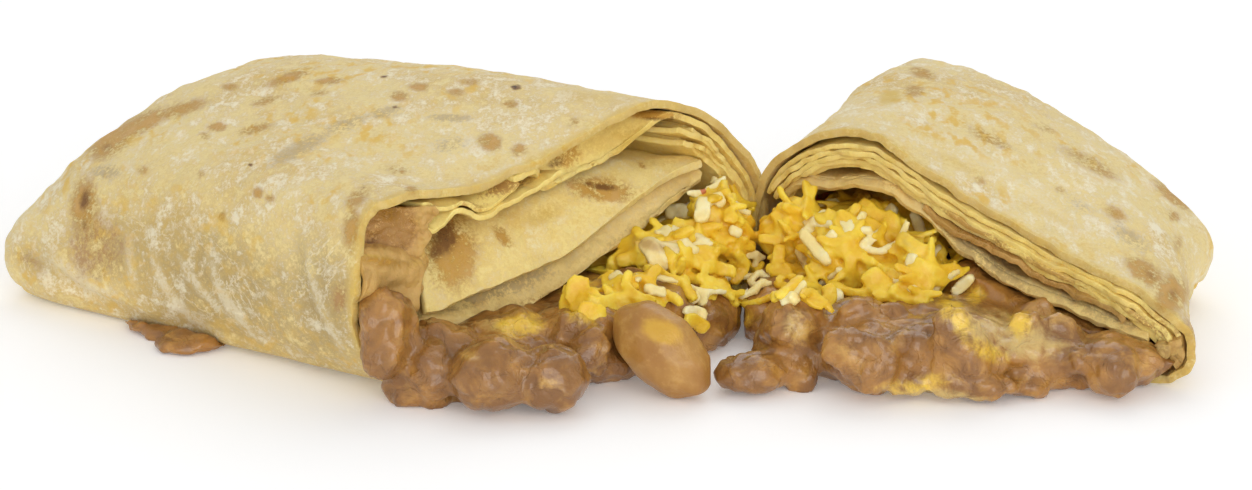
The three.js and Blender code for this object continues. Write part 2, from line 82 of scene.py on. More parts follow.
def heading(azimuth: float) -> Points:
    """Return the level unit vector at an azimuth in degrees."""
    return np.array([math.cos(math.radians(azimuth)), math.sin(math.radians(azimuth))])


def spline(points: Line, places: Points, closed: bool = False) -> Points:
    """Return points on a smooth curve through the given ones.

    Args:
        points: What the curve goes through, two or three numbers each.
        places: Shares of the way along, 0 to 1.
        closed: Whether the last point leads back to the first.

    Returns:
        One row of coordinates for each place.
    """
    given = np.asarray(points, float)
    spans = len(given) if closed else len(given) - 1
    share = np.mod(places, 1.0) if closed else np.clip(places, 0, 1)
    first = np.minimum((share * spans).astype(int), spans - 1)
    part = (share * spans - first)[:, None]
    if closed:
        near = given[(first[:, None] + np.arange(-1, 3)) % len(given)]
    else:
        padded = np.vstack([2 * given[0] - given[1], given, 2 * given[-1] - given[-2]])
        near = padded[first[:, None] + np.arange(4)]
    p0, p1, p2, p3 = near.transpose(1, 0, 2)
    return 0.5 * (2 * p1 + (p2 - p0) * part + (2 * p0 - 5 * p1 + 4 * p2 - p3) * part ** 2
                  + (3 * p1 - p0 - 3 * p2 + p3) * part ** 3)


def even_spline(points: Line, places: Points) -> Points:
    """Return points on a smooth open curve, spread evenly by its length."""
    fine = spline(points, np.linspace(0, 1, SPLINE_STEPS))
    gone = np.concatenate([[0], np.cumsum(np.linalg.norm(np.diff(fine, axis=0), axis=1))])
    wanted = np.clip(places, 0, 1) * gone[-1]
    return np.stack([np.interp(wanted, gone, fine[:, k]) for k in range(fine.shape[1])], 1)


def ripple(points: Points, wavelength: float, seed: int, octaves: int = 2) -> Points:
    """Return smooth noise from about -1 to 1 at each point.

    Args:
        points: Places in millimetres.
        wavelength: Size of the largest features in millimetres.
        seed: Which of the endless patterns to take.
        octaves: How many finer layers it has.
    """
    shift = Vector((seed * 17.31, seed * 7.77, seed * 3.13))
    return np.array([noise.fractal(Vector(p) / wavelength + shift, 1.0, 2.0, octaves)
                     for p in points])


# ---- The view ----------------------------------------------------------------------------
@dataclass(frozen=True)
class View:
    """The camera, and the picture frame in which places on the food are named.

    The frame is 1252 x 490. A place in it is (x, y) from its top left corner.
    """

    width: int = 1252
    height: int = 490
    centre: Place = (610.0, 250.0)
    target: tuple[float, float, float] = (0.65, -26.76, 16.0)
    elevation: float = 18.0
    distance: float = 480.0
    pixels_per_unit: float = 3264.0
    sensor: float = 36.0

    @property
    def axes(self) -> Points:
        """The camera's right, up and forward, one to a row."""
        tilt = math.radians(self.elevation)
        return np.array([[1, 0, 0], [0, math.sin(tilt), math.cos(tilt)],
                         [0, math.cos(tilt), -math.sin(tilt)]])

    @property
    def eye(self) -> Points:
        """Where the camera stands, in millimetres."""
        return np.array(self.target) - self.axes[2] * self.distance

    @property
    def millimetres_per_pixel(self) -> float:
        """The size of a frame pixel on the food."""
        return self.distance / self.pixels_per_unit

    def project(self, points: Points) -> Points:
        """Return where points in millimetres show in the frame."""
        seen = (np.asarray(points, float) - self.eye) @ self.axes.T
        across = self.centre[0] + self.pixels_per_unit * seen[:, 0] / seen[:, 2]
        down = self.centre[1] - self.pixels_per_unit * seen[:, 1] / seen[:, 2]
        return np.stack([across, down], 1)

    def ray(self, place: Place) -> Points:
        """Return the direction from the eye through a place in the frame."""
        right = (place[0] - self.centre[0]) / self.pixels_per_unit
        up = (self.centre[1] - place[1]) / self.pixels_per_unit
        way = right * self.axes[0] + up * self.axes[1] + self.axes[2]
        return way / np.linalg.norm(way)

    def stand_camera(self) -> None:
        """Add the camera and make it the scene's."""
        deselect()
        tilt = math.pi / 2 - math.radians(self.elevation)
        bpy.ops.object.camera_add(location=Vector(self.eye) * MM, rotation=(tilt, 0, 0))
        camera = bpy.context.object
        camera.name = "camera"
        camera.data.sensor_width = self.sensor
        camera.data.lens = self.pixels_per_unit / self.width * self.sensor
        camera.data.shift_x = (self.width / 2 - self.centre[0]) / self.width
        camera.data.shift_y = (self.centre[1] - self.height / 2) / self.width
        camera.data.clip_start = 0.01
        bpy.context.scene.camera = camera


VIEW = View()


# ---- Work on meshes ----------------------------------------------------------------------
def deselect() -> None:
    """Leave nothing selected."""
    bpy.ops.object.select_all(action="DESELECT")


def take(piece: bpy.types.Object) -> None:
    """Select one piece alone and make it active."""
    deselect()
    piece.select_set(True)
    bpy.context.view_layer.objects.active = piece


def points_of(piece: bpy.types.Object) -> Points:
    """Return a piece's vertices in millimetres."""
    flat = np.empty(len(piece.data.vertices) * 3)
    piece.data.vertices.foreach_get("co", flat)
    return flat.reshape(-1, 3) / MM


def put(piece: bpy.types.Object, points: Points) -> None:
    """Write a piece's vertices, given in millimetres."""
    piece.data.vertices.foreach_set("co", (np.asarray(points) * MM).ravel())
    piece.data.update()


def normals_of(piece: bpy.types.Object) -> Points:
    """Return a piece's vertex normals."""
    flat = np.empty(len(piece.data.vertices) * 3)
    piece.data.vertices.foreach_get("normal", flat)
    return flat.reshape(-1, 3)


def apply(piece: bpy.types.Object, kind: str, **settings: object) -> None:
    """Add a modifier, set it and apply it."""
    take(piece)
    modifier = piece.modifiers.new(kind.title(), kind)
    for name, value in settings.items():
        setattr(modifier, name, value)
    bpy.ops.object.modifier_apply(modifier=modifier.name)


def edit(piece: bpy.types.Object) -> None:
    """Open a piece in edit mode with all of it selected."""
    take(piece)
    bpy.ops.object.mode_set(mode="EDIT")
    bpy.ops.mesh.select_mode(type="VERT")
    bpy.ops.mesh.select_all(action="SELECT")


def close_edit() -> None:
    """Go back to object mode."""
    bpy.ops.object.mode_set(mode="OBJECT")


def weld(piece: bpy.types.Object, distance: float) -> None:
    """Merge vertices closer than a distance in millimetres and turn the faces outwards."""
    edit(piece)
    bpy.ops.mesh.remove_doubles(threshold=distance * MM)
    bpy.ops.mesh.normals_make_consistent(inside=False)
    close_edit()


def fuse(piece: bpy.types.Object, voxel: float, steps: int = 0) -> None:
    """Remesh a piece into one skin with a voxel in millimetres, and even it in some steps."""
    apply(piece, "REMESH", mode="VOXEL", voxel_size=voxel * MM)
    if steps:
        apply(piece, "SMOOTH", factor=0.5, iterations=steps)


def joined(pieces: Sequence[bpy.types.Object], name: str) -> bpy.types.Object:
    """Join pieces into one with a new name."""
    deselect()
    for piece in pieces:
        piece.select_set(True)
    bpy.context.view_layer.objects.active = pieces[0]
    if len(pieces) > 1:
        bpy.ops.object.join()
    pieces[0].name = name
    pieces[0].data.name = name
    return pieces[0]


def node_copy(node: str, name: str) -> bpy.types.Object:
    """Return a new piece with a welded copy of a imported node's mesh."""
    piece = bpy.data.objects.new(name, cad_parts[node].data.copy())
    piece.data.name = name
    piece.data.materials.clear()
    bpy.context.scene.collection.objects.link(piece)
    weld(piece, 0.001)
    return piece


def just_added(name: str) -> bpy.types.Object:
    """Name the piece that was just added, and return it."""
    piece = bpy.context.object
    piece.name = name
    piece.data.name = name
    return piece


def new_grid(name: str, columns: int, rows: int) -> tuple[bpy.types.Object, Points, Points]:
    """Add a flat grid to be shaped.

    Returns:
        The piece, and each vertex's share across and along, 0 to 1.
    """
    deselect()
    bpy.ops.mesh.primitive_grid_add(x_subdivisions=columns, y_subdivisions=rows, size=1)
    piece = just_added(name)
    flat = points_of(piece) * MM
    return piece, flat[:, 0] + 0.5, flat[:, 1] + 0.5


def new_ball(name: str, detail: int = 3) -> bpy.types.Object:
    """Add a ball of 1 mm radius to be shaped."""
    deselect()
    bpy.ops.mesh.primitive_ico_sphere_add(subdivisions=detail, radius=MM)
    return just_added(name)


def roughen(piece: bpy.types.Object, wavelength: float, height: float, seed: int,
            octaves: int = 2, where: Points | float = 1.0) -> None:
    """Raise and sink a surface along its normals by smooth noise."""
    points = points_of(piece)
    lift = ripple(points, wavelength, seed, octaves) * height * where
    put(piece, points + normals_of(piece) * lift[:, None])


def keep_above_floor(piece: bpy.types.Object) -> None:
    """Flatten whatever would reach through the floor."""
    points = points_of(piece)
    points[:, 2] = np.maximum(points[:, 2], FLOOR_GAP)
    put(piece, points)


def finish_piece(piece: bpy.types.Object, slot: str, *nodes: str, angle: float = 60) -> None:
    """Shade a finished piece smooth, and say what it rides on and what it replaces."""
    take(piece)
    bpy.ops.object.shade_smooth_by_angle(angle=math.radians(angle))
    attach(piece, BODY)
    if nodes:
        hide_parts(*nodes)
    log.info("%s: %d faces", piece.name, len(piece.data.polygons))


class Caster:
    """Finds the place on some pieces that shows at a place in the frame."""

    def __init__(self, pieces: Sequence[bpy.types.Object]) -> None:
        """Take the pieces as they are now."""
        self.trees = [BVHTree.FromPolygons([Vector(p) for p in points_of(piece)],
                                           [tuple(f.vertices) for f in piece.data.polygons])
                      for piece in pieces]

    def hit(self, place: Place) -> tuple[Points, Points] | None:
        """Return the nearest point and its normal, or None where the ray misses."""
        eye, way = Vector(VIEW.eye), Vector(VIEW.ray(place))
        found = [tree.ray_cast(eye, way) for tree in self.trees]
        hits = [(f[3], f[0], f[1]) for f in found if f[0] is not None]
        if not hits:
            return None
        _, point, normal = min(hits, key=lambda h: h[0])
        return np.array(point), np.array(normal)


# ---- Patches and creases -----------------------------------------------------------------
class Layer(Enum):
    """What is painted on a surface. The value is the attribute's name."""

    TOAST = "toast"
    CHAR = "char"
    # Grey where filling shows through, and painted shade in a few places.
    GREY_AND_SHADE = "grey_and_shade"
    STAIN = "stain"
    YELLOW = "yellow"
    FLOUR = "flour"
    # A damp tone, also painted shade on the near side and the tucked end.
    DAMP_AND_SHADE = "steamed"
    # Painted shade in the hollows of the mash and the cheese.
    HOLLOW_SHADE = "deep"


@dataclass(frozen=True)
class Mark:
    """An oval patch, named by where it shows in the frame: centre, half-axes and turn."""

    layer: Layer
    at: Place
    reach: Place
    turn: float = 0.0
    strength: float = 1.0


@dataclass(frozen=True)
class Crease:
    """A groove, or with a height above 0 a ridge, along a line in the frame."""

    path: Line
    width: float
    height: float

    def lift(self, seen: Points) -> Points:
        """Return how far each seen point rises, in millimetres."""
        way = spline(self.path, np.linspace(0, 1, 12 * len(self.path)))
        gaps = seen[:, None, :] - way[None, :, :]
        away = np.sqrt((gaps ** 2).sum(2))
        nearest = away.argmin(1)
        taper = np.sin(np.pi * np.clip(nearest / (len(way) - 1), 0.03, 0.97)) ** 0.5
        share = away.min(1) * VIEW.millimetres_per_pixel / self.width
        return self.height * np.exp(-share ** 2) * taper


def hollow_shade_mask(piece: bpy.types.Object, depth: float, steps: int = 12) -> Points:
    """Return 1 for vertices a depth in millimetres under the evened surface, and 0 on it, to paint
    shade in hollows.
    """
    even = piece.copy()
    even.data = piece.data.copy()
    bpy.context.scene.collection.objects.link(even)
    apply(even, "SMOOTH", factor=0.5, iterations=steps)
    under = ((points_of(even) - points_of(piece)) * normals_of(piece)).sum(1)
    bpy.data.objects.remove(even)
    return smooth(under, 0.0, depth)


def paint(piece: bpy.types.Object, marks: Sequence[Mark], creases: Sequence[Crease] = (),
          rim: Points | None = None, deep: Points | None = None) -> None:
    """Write what is painted on a piece as attributes.

    Args:
        piece: What to paint.
        marks: Patches that fade outwards from each centre.
        creases: Its creases. The ones that stand up get a painted highlight in the flour layer.
        rim: How near each vertex is to the cut edge, 0 to 1. Oil yellows it there.
        deep: How deep each vertex lies in a hollow, 0 to 1. Shade is painted there.
    """
    seen = VIEW.project(points_of(piece))
    facing = smooth(-normals_of(piece) @ VIEW.axes[2], -0.35, 0.0)
    for layer in Layer:
        value = np.zeros(len(seen))
        for mark in marks:
            if mark.layer is layer:
                angle = math.radians(mark.turn)
                away = seen - np.array(mark.at)
                along = away @ np.array([math.cos(angle), math.sin(angle)]) / mark.reach[0]
                beside = away @ np.array([-math.sin(angle), math.cos(angle)]) / mark.reach[1]
                value = np.maximum(value, mark.strength * np.exp(-along ** 2 - beside ** 2))
        # Ridges of creases get a painted highlight in the flour layer.
        if layer is Layer.FLOUR:
            for ridge in (c for c in creases if c.height > 0):
                value = np.maximum(value, ridge.lift(seen) / ridge.height)
        value *= facing
        if layer is Layer.YELLOW and rim is not None:
            value = np.maximum(value, rim)
        # Hollows get painted shade.
        if layer is Layer.HOLLOW_SHADE and deep is not None:
            value = deep
        attribute = piece.data.attributes.new(layer.value, "FLOAT", "POINT")
        attribute.data.foreach_set("value", value.astype(np.float32))


def crease(piece: bpy.types.Object, creases: Sequence[Crease]) -> None:
    """Press creases into the side of a piece that the camera sees."""
    points, normals = points_of(piece), normals_of(piece)
    seen = VIEW.project(points)
    facing = smooth(-normals @ VIEW.axes[2], -0.1, 0.15)
    lift = sum(c.lift(seen) for c in creases) * facing
    put(piece, points + normals * lift[:, None])


# ---- Shaders -----------------------------------------------------------------------------
class Wire:
    """A number that varies over a surface, which takes part in plain arithmetic."""

    def __init__(self, board: "Board", socket: bpy.types.NodeSocket) -> None:
        """Wrap an output socket."""
        self.board = board
        self.socket = socket

    def maths(self, operation: str, first: object, second: object) -> "Wire":
        """Return a Math node's result."""
        return self.board.node("ShaderNodeMath", {"operation": operation},
                               {0: first, 1: second})

    def __add__(self, other: object) -> "Wire":
        """Add."""
        return self.maths("ADD", self, other)

    def __radd__(self, other: object) -> "Wire":
        """Add to a plain number."""
        return self.maths("ADD", other, self)

    def __sub__(self, other: object) -> "Wire":
        """Subtract."""
        return self.maths("SUBTRACT", self, other)

    def __rsub__(self, other: object) -> "Wire":
        """Subtract from a plain number."""
        return self.maths("SUBTRACT", other, self)

    def __mul__(self, other: object) -> "Wire":
        """Multiply."""
        return self.maths("MULTIPLY", self, other)

    def __rmul__(self, other: object) -> "Wire":
        """Multiply a plain number."""
        return self.maths("MULTIPLY", other, self)

    def __abs__(self) -> "Wire":
        """Drop the sign."""
        return self.maths("ABSOLUTE", self, 0.0)

    def most(self, other: object) -> "Wire":
        """Return the larger of the two."""
        return self.maths("MAXIMUM", self, other)

    def between(self, low: float, high: float) -> "Wire":
        """Return 0 below low, 1 above high and an even S between them."""
        return self.board.node("ShaderNodeMapRange", {"interpolation_type": "SMOOTHSTEP"},
                               {"Value": self, "From Min": low, "From Max": high})


class Board:
    """A material's node tree while it is put together."""

    def __init__(self, name: str) -> None:
        """Start an empty material."""
        self.material = bpy.data.materials.new(name)
        self.material.use_nodes = True
        self.tree = self.material.node_tree
        self.tree.nodes.clear()
        self.object_place = self.node("ShaderNodeTexCoord", {}, {}, "Object")

    def node(self, kind: str, settings: dict, sockets: dict, output: int | str = 0) -> Wire:
        """Add a node.

        Args:
            kind: The node's type.
            settings: Its own settings, set before anything is linked.
            sockets: A value or a Wire for each input, by name or number.
            output: Which output to return.

        Returns:
            That output.
        """
        made = self.tree.nodes.new(kind)
        for name, value in settings.items():
            setattr(made, name, value)
        for name, value in sockets.items():
            if isinstance(value, Wire):
                self.tree.links.new(value.socket, made.inputs[name])
            else:
                made.inputs[name].default_value = value
        return Wire(self, made.outputs[output])

    def stretched(self, stretch: Sequence[float], turn: float) -> Wire:
        """Return the place on the object, turned about Z and scaled on each axis."""
        return self.node("ShaderNodeMapping", {}, {
            "Vector": self.object_place, "Rotation": (0, 0, math.radians(turn)),
            "Scale": tuple(stretch)})

    def grain(self, size: float, detail: float = 3, rough: float = 0.5, warp: float = 0,
              place: Wire | None = None, seed: float = 0) -> Wire:
        """Return noise from 0 to 1 with features of a size in millimetres."""
        return self.node("ShaderNodeTexNoise", {"noise_dimensions": "4D"}, {
            "Vector": place or self.object_place, "W": seed, "Scale": 1 / (size * MM),
            "Detail": detail, "Roughness": rough, "Distortion": warp}, "Fac")

    def painted(self, layer: Layer) -> Wire:
        """Return a painted layer's strength."""
        return self.node("ShaderNodeAttribute", {"attribute_name": layer.value}, {}, "Fac")

    def blend(self, share: object, first: object, second: object) -> Wire:
        """Return the first colour turning into the second."""
        return self.node("ShaderNodeMix", {"data_type": "RGBA"}, {0: share, 6: first, 7: second}, 2)

    def finish(self, colour: object, roughness: object, height: Wire, relief: float,
               constants: dict) -> bpy.types.Material:
        """Close the material with a Principled shader.

        Args:
            colour: Its base colour.
            roughness: Its roughness.
            height: The fine relief, 0 to 1.
            relief: How high that relief stands, in millimetres.
            constants: Other sockets, the same all over.

        Returns:
            The material.
        """
        bump = self.node("ShaderNodeBump", {}, {"Height": height, "Distance": relief * MM,
                                                "Strength": 1.0})
        sockets = {"Base Color": colour, "Roughness": roughness, "Normal": bump} | constants
        shader = self.node("ShaderNodeBsdfPrincipled", {}, sockets)
        end = self.tree.nodes.new("ShaderNodeOutputMaterial")
        self.tree.links.new(shader.socket, end.inputs["Surface"])
        return self.material


def see_through(weight: float, scale: float, radius: Sequence[float]) -> dict:
    """Return the sockets that let light in under a surface, with a scale in millimetres."""
    return {"Subsurface Weight": weight, "Subsurface Scale": scale * MM,
            "Subsurface Radius": tuple(radius)}


# ---- Finishes ----------------------------------------------------------------------------
TOASTED = tone(196, 142, 40)
SCORCHED = tone(114, 72, 24)
BLACKENED = tone(40, 30, 24)
BEAN_STAIN = tone(176, 130, 70)
OILY_YELLOW = tone(216, 182, 84)
# Grey where filling shows through, also painted shade low on the near side and under the fold.
SHOWING_THROUGH_AND_SHADE = tone(176, 152, 106)
# A damp tone, also painted shade on the near side and the tucked end.
DAMP_AND_SHADE_TONE = tone(170, 147, 98)
RED_PEPPER = tone(206, 92, 54)
# Painted shade in the hollows of the mash.
PASTE_HOLLOW_SHADE = tone(92, 60, 30)
MELTED_FILM = tone(214, 188, 118)


@dataclass(frozen=True)
class TortillaFinish:
    """Flour tortilla: cream, with steamed tan areas, flour, toasted flecks and painted marks."""

    name: str
    cream: tuple = tone(234, 212, 148)
    flour: tuple = tone(250, 242, 214)
    steamed: tuple = tone(206, 172, 96)
    fleck: tuple = tone(226, 182, 62)
    steamed_share: float = 0.85
    flour_share: float = 0.9
    fleck_share: float = 0.9
    stain_share: float = 0.0
    roughness: float = 0.62
    relief: float = 0.7
    lie: float = 25.0
    seed: float = 1.0

    def material(self) -> bpy.types.Material:
        """Return the finish as a material."""
        b = Board(self.name)
        seed = self.seed
        along_roll = b.stretched((1.0, 0.5, 1.0), self.lie)
        broad = b.grain(24, 3, 0.55, 0.3, seed=seed)
        patch = b.grain(6, 6, 0.68, 0.2, seed=seed + 1)
        flour = b.grain(2.4, 8, 0.8, place=along_roll, seed=seed + 2)
        fine = b.grain(0.6, 5, 0.75, seed=seed + 3)
        veins = 1 - abs(b.grain(11, 8, 0.6, 0.5, seed=seed + 7) - 0.5).between(0.0, 0.012)
        ragged = (patch - 0.5) * 1.8 + (fine - 0.5) * 3.0 + (flour - 0.5) * 2.2
        patchy = 1 + ragged * 1.7
        # Damp tone that also paints shade on the near side and the tucked end.
        damp_and_shade = b.painted(Layer.DAMP_AND_SHADE)
        steamed = broad * 0.4 + patch * 0.6 + (flour - 0.5) * 0.7 + damp_and_shade * 0.06
        colour = b.blend(steamed.between(0.46, 0.58) * self.steamed_share, self.cream, self.steamed)
        grit = (fine * 0.5 + flour * 0.5).between(0.44, 0.56)
        colour = b.blend(grit * 0.45, colour, self.steamed)
        damp_and_shade_cover = (damp_and_shade * (1 + ragged * 0.9)).between(0.1, 1.2)
        colour = b.blend(damp_and_shade_cover * 0.8, colour, DAMP_AND_SHADE_TONE)
        floury = (flour * 0.55 + patch * 0.25 + fine * 0.2 - damp_and_shade * 0.02).between(0.47, 0.58)
        # Flour marks, and a painted highlight along the ridges of creases.
        flour_and_ridge_highlight = (b.painted(Layer.FLOUR) * patchy).between(0.15, 1.1)
        floury = floury * self.flour_share * (1 - damp_and_shade * 0.25)
        floury = floury.most(flour_and_ridge_highlight * 0.5)
        floury = floury.most(veins * self.flour_share * (damp_and_shade * 0.4 + 0.2))
        colour = b.blend(floury * 0.9, colour, self.flour)
        spots = b.grain(2.0, 2, 0.5, 0.2, place=along_roll, seed=seed + 4) + (fine - 0.5) * 0.4
        where = b.grain(16, 2, seed=seed + 6).between(0.42, 0.60)
        fleck = spots.between(0.50, 0.66) * where * (1 - damp_and_shade * 0.65) * self.fleck_share
        colour = b.blend(fleck * 0.9, colour, self.fleck)
        # Bean stain, which also paints the shade in the pocket under the ruffle.
        stain = (b.painted(Layer.STAIN) * patchy).between(0.2, 0.8)
        stain = stain.most((patch + ragged * 0.1).between(0.35, 0.6) * self.stain_share)
        colour = b.blend(stain * 0.85, colour, BEAN_STAIN)
        # Grey where filling shows through, and painted shade in a few places.
        grey_and_shade = (b.painted(Layer.GREY_AND_SHADE) * patchy).between(0.25, 0.95)
        colour = b.blend(grey_and_shade * 0.65, colour, SHOWING_THROUGH_AND_SHADE)
        yellow = (b.painted(Layer.YELLOW) * (1 + ragged * 0.6)).between(0.20, 0.90)
        colour = b.blend(yellow * 0.8, colour, OILY_YELLOW)
        toast = (b.painted(Layer.TOAST) * patchy).between(0.10, 0.85)
        colour = b.blend(toast * 0.8, colour, TOASTED)
        # Char, which also paints shade in the recess, in a hole and in gaps.
        char = b.painted(Layer.CHAR) * (1 + ragged * 0.6)
        colour = b.blend(char.between(0.20, 1.0) * 0.9, colour, SCORCHED)
        colour = b.blend(char.between(1.15, 1.40), colour, BLACKENED)
        height = flour * 0.4 + patch * 0.3 + fine * 0.25 + toast * 0.1 + veins * 0.05
        gloss = self.roughness - stain * 0.18 + floury * 0.1
        return b.finish(colour, gloss, height, self.relief,
                        see_through(0.2, 1.4, (1.0, 0.7, 0.4)))


@dataclass(frozen=True)
class MashFinish:
    """Wet mashed beans: brown, with paler paste, darker paste in patches, painted shade in hollows
    and crevices, and cheese melted over.
    """

    name: str = "mashed_beans"
    paste: tuple = tone(173, 121, 53)
    dark: tuple = tone(134, 90, 41)
    pale: tuple = tone(214, 169, 88)
    melted: tuple = tone(236, 196, 62)
    relief: float = 0.5

    def material(self) -> bpy.types.Material:
        """Return the finish as a material."""
        b = Board(self.name)
        broad = b.grain(9, 3, 0.5, 0.5)
        patch = b.grain(3.4, 4, 0.6, 0.8, seed=3)
        fine = b.grain(0.9, 4, 0.65, seed=5)
        skins = 1 - abs(b.grain(5, 3, 0.5, 0.8, seed=9) - 0.5).between(0.0, 0.03)
        ragged = (patch - 0.5) * 2.4 + (fine - 0.5) * 1.0
        patchy = 1 + ragged
        colour = b.blend((broad * 0.6 + patch * 0.4).between(0.40, 0.58), self.dark, self.paste)
        colour = b.blend((patch * 0.8 + fine * 0.2).between(0.50, 0.68) * 0.3, colour, self.pale)
        # Painted shade in the hollows.
        colour = b.blend(b.painted(Layer.HOLLOW_SHADE) * 0.65, colour, PASTE_HOLLOW_SHADE)
        # The char layer here is painted shade in crevices and under lumps.
        for layer, tint, low, share in (
                (Layer.CHAR, self.dark, 0.3, 0.7), (Layer.STAIN, self.pale, 0.3, 0.75),
                (Layer.FLOUR, MELTED_FILM, 0.3, 0.7), (Layer.YELLOW, self.melted, 0.25, 0.9)):
            cover = (b.painted(layer) * patchy).between(low, 0.9)
            colour = b.blend(cover * share, colour, tint)
        height = patch * 0.5 + fine * 0.35 + skins * 0.15
        wet = {"Specular IOR Level": 0.45, "Coat Weight": 0.5, "Coat Roughness": 0.08}
        return b.finish(colour, 0.36 + (fine - 0.5) * 0.4, height, self.relief,
                        see_through(0.2, 0.9, (1.0, 0.65, 0.35)) | wet)


@dataclass(frozen=True)
class BeanFinish:
    """The smooth skin of a whole cooked pinto bean."""

    name: str = "bean_skin"
    skin: tuple = tone(180, 133, 66)
    rosy: tuple = tone(164, 115, 52)
    pale: tuple = tone(198, 156, 88)
    melted: tuple = tone(210, 164, 56)

    def material(self) -> bpy.types.Material:
        """Return the finish as a material."""
        b = Board(self.name)
        broad = b.grain(8, 3, 0.55, 0.3)
        fine = b.grain(1.4, 5, 0.65, seed=2)
        pore = b.grain(0.5, 3, 0.6, seed=4)
        colour = b.blend(broad.between(0.40, 0.62), self.rosy, self.skin)
        colour = b.blend((fine * 0.6 + broad * 0.4).between(0.50, 0.64) * 0.55, colour, self.pale)
        yellow = (b.painted(Layer.YELLOW) + (fine - 0.5) * 0.5).between(0.3, 0.8)
        colour = b.blend(yellow * 0.85, colour, self.melted)
        pale = (b.painted(Layer.STAIN) + (fine - 0.5) * 0.4).between(0.3, 0.8)
        colour = b.blend(pale * 0.7, colour, self.pale)
        return b.finish(colour, 0.36 + (fine - 0.5) * 0.25, fine * 0.5 + pore * 0.5, 0.16,
                        see_through(0.25, 1.6, (1.0, 0.65, 0.4)) | {"Specular IOR Level": 0.5})


class Cheese(Enum):
    """The two cheeses in the filling."""

    YELLOW = "cheese_yellow"
    WHITE = "cheese_white"


@dataclass(frozen=True)
class CheeseFinish:
    """Soft, oily shredded cheese."""

    name: str
    body: tuple
    deep: tuple
    light: tuple
    # hollow is the colour of painted shade in the hollows.
    hollow: tuple

    def material(self) -> bpy.types.Material:
        """Return the finish as a material."""
        b = Board(self.name)
        broad = b.grain(5, 3, 0.5, 0.3)
        fine = b.grain(1.0, 4, 0.6, seed=2)
        colour = b.blend(broad.between(0.38, 0.62), self.deep, self.body)
        colour = b.blend((fine * 0.6 + broad * 0.4).between(0.50, 0.68) * 0.6, colour, self.light)
        # Painted shade in the hollows.
        colour = b.blend(b.painted(Layer.HOLLOW_SHADE) * 0.85, colour, self.hollow)
        # Bean stain, on the right heap also painted shade.
        stain = (b.painted(Layer.STAIN) + (fine - 0.5) * 0.5).between(0.3, 0.9)
        colour = b.blend(stain * 0.6, colour, BEAN_STAIN)
        red = (b.painted(Layer.CHAR) + (fine - 0.5) * 0.3).between(0.4, 0.7)
        colour = b.blend(red * 0.85, colour, RED_PEPPER)
        return b.finish(colour, 0.40 + (fine - 0.5) * 0.25, fine * 0.6 + broad * 0.4, 0.3,
                        see_through(0.3, 1.4, (1.0, 0.85, 0.4)))


OUTSIDE = TortillaFinish("tortilla_outside")
INSIDE = TortillaFinish("tortilla_inside", cream=tone(220, 190, 120), steamed=tone(204, 166, 92),
                        flour=tone(230, 208, 150), fleck_share=0.0, flour_share=0.4,
                        roughness=0.5, relief=0.4, seed=11)
# The inner turns are paler than the outside, and this tone is raised further as painted light
# against the shade in the cut.
TURN = TortillaFinish("tortilla_turn", cream=tone(248, 224, 136), steamed=tone(236, 202, 102),
                      flour=tone(253, 238, 178), fleck_share=0.3, flour_share=0.5,
                      roughness=0.54, relief=0.35, seed=21)
FOLD = TortillaFinish("tortilla_fold", cream=tone(246, 224, 148), steamed=tone(228, 194, 102),
                      flour=tone(253, 242, 196), fleck_share=0.25, flour_share=0.85,
                      steamed_share=0.7, relief=0.5, seed=31)
LINING = TortillaFinish("tortilla_lining", cream=tone(244, 216, 140), steamed=tone(218, 182, 104),
                        flour=tone(246, 228, 172), fleck_share=0.1, flour_share=0.65,
                        roughness=0.5, relief=0.5, seed=41)
STAINED = TortillaFinish("tortilla_bean_stained", cream=tone(212, 170, 100),
                         steamed=tone(186, 140, 74), flour=tone(228, 192, 124), fleck_share=0.3,
                         stain_share=0.4, roughness=0.42, relief=0.8, seed=51)
YELLOW_CHEESE = CheeseFinish("cheese_yellow", tone(246, 212, 62), tone(236, 190, 44),
                             tone(250, 228, 112), tone(196, 132, 26))
WHITE_CHEESE = CheeseFinish("cheese_white", tone(250, 236, 178), tone(244, 222, 148),
                            tone(254, 247, 212), tone(216, 176, 90))


# ---- The two halves ----------------------------------------------------------------------
NEAR_CORNER = 0.29  # Share of the way round where the near side meets the floor.


@dataclass(frozen=True)
class Station:
    """The roll's outline at one place along a half: share across, and height in mm."""

    along: float
    outline: Line


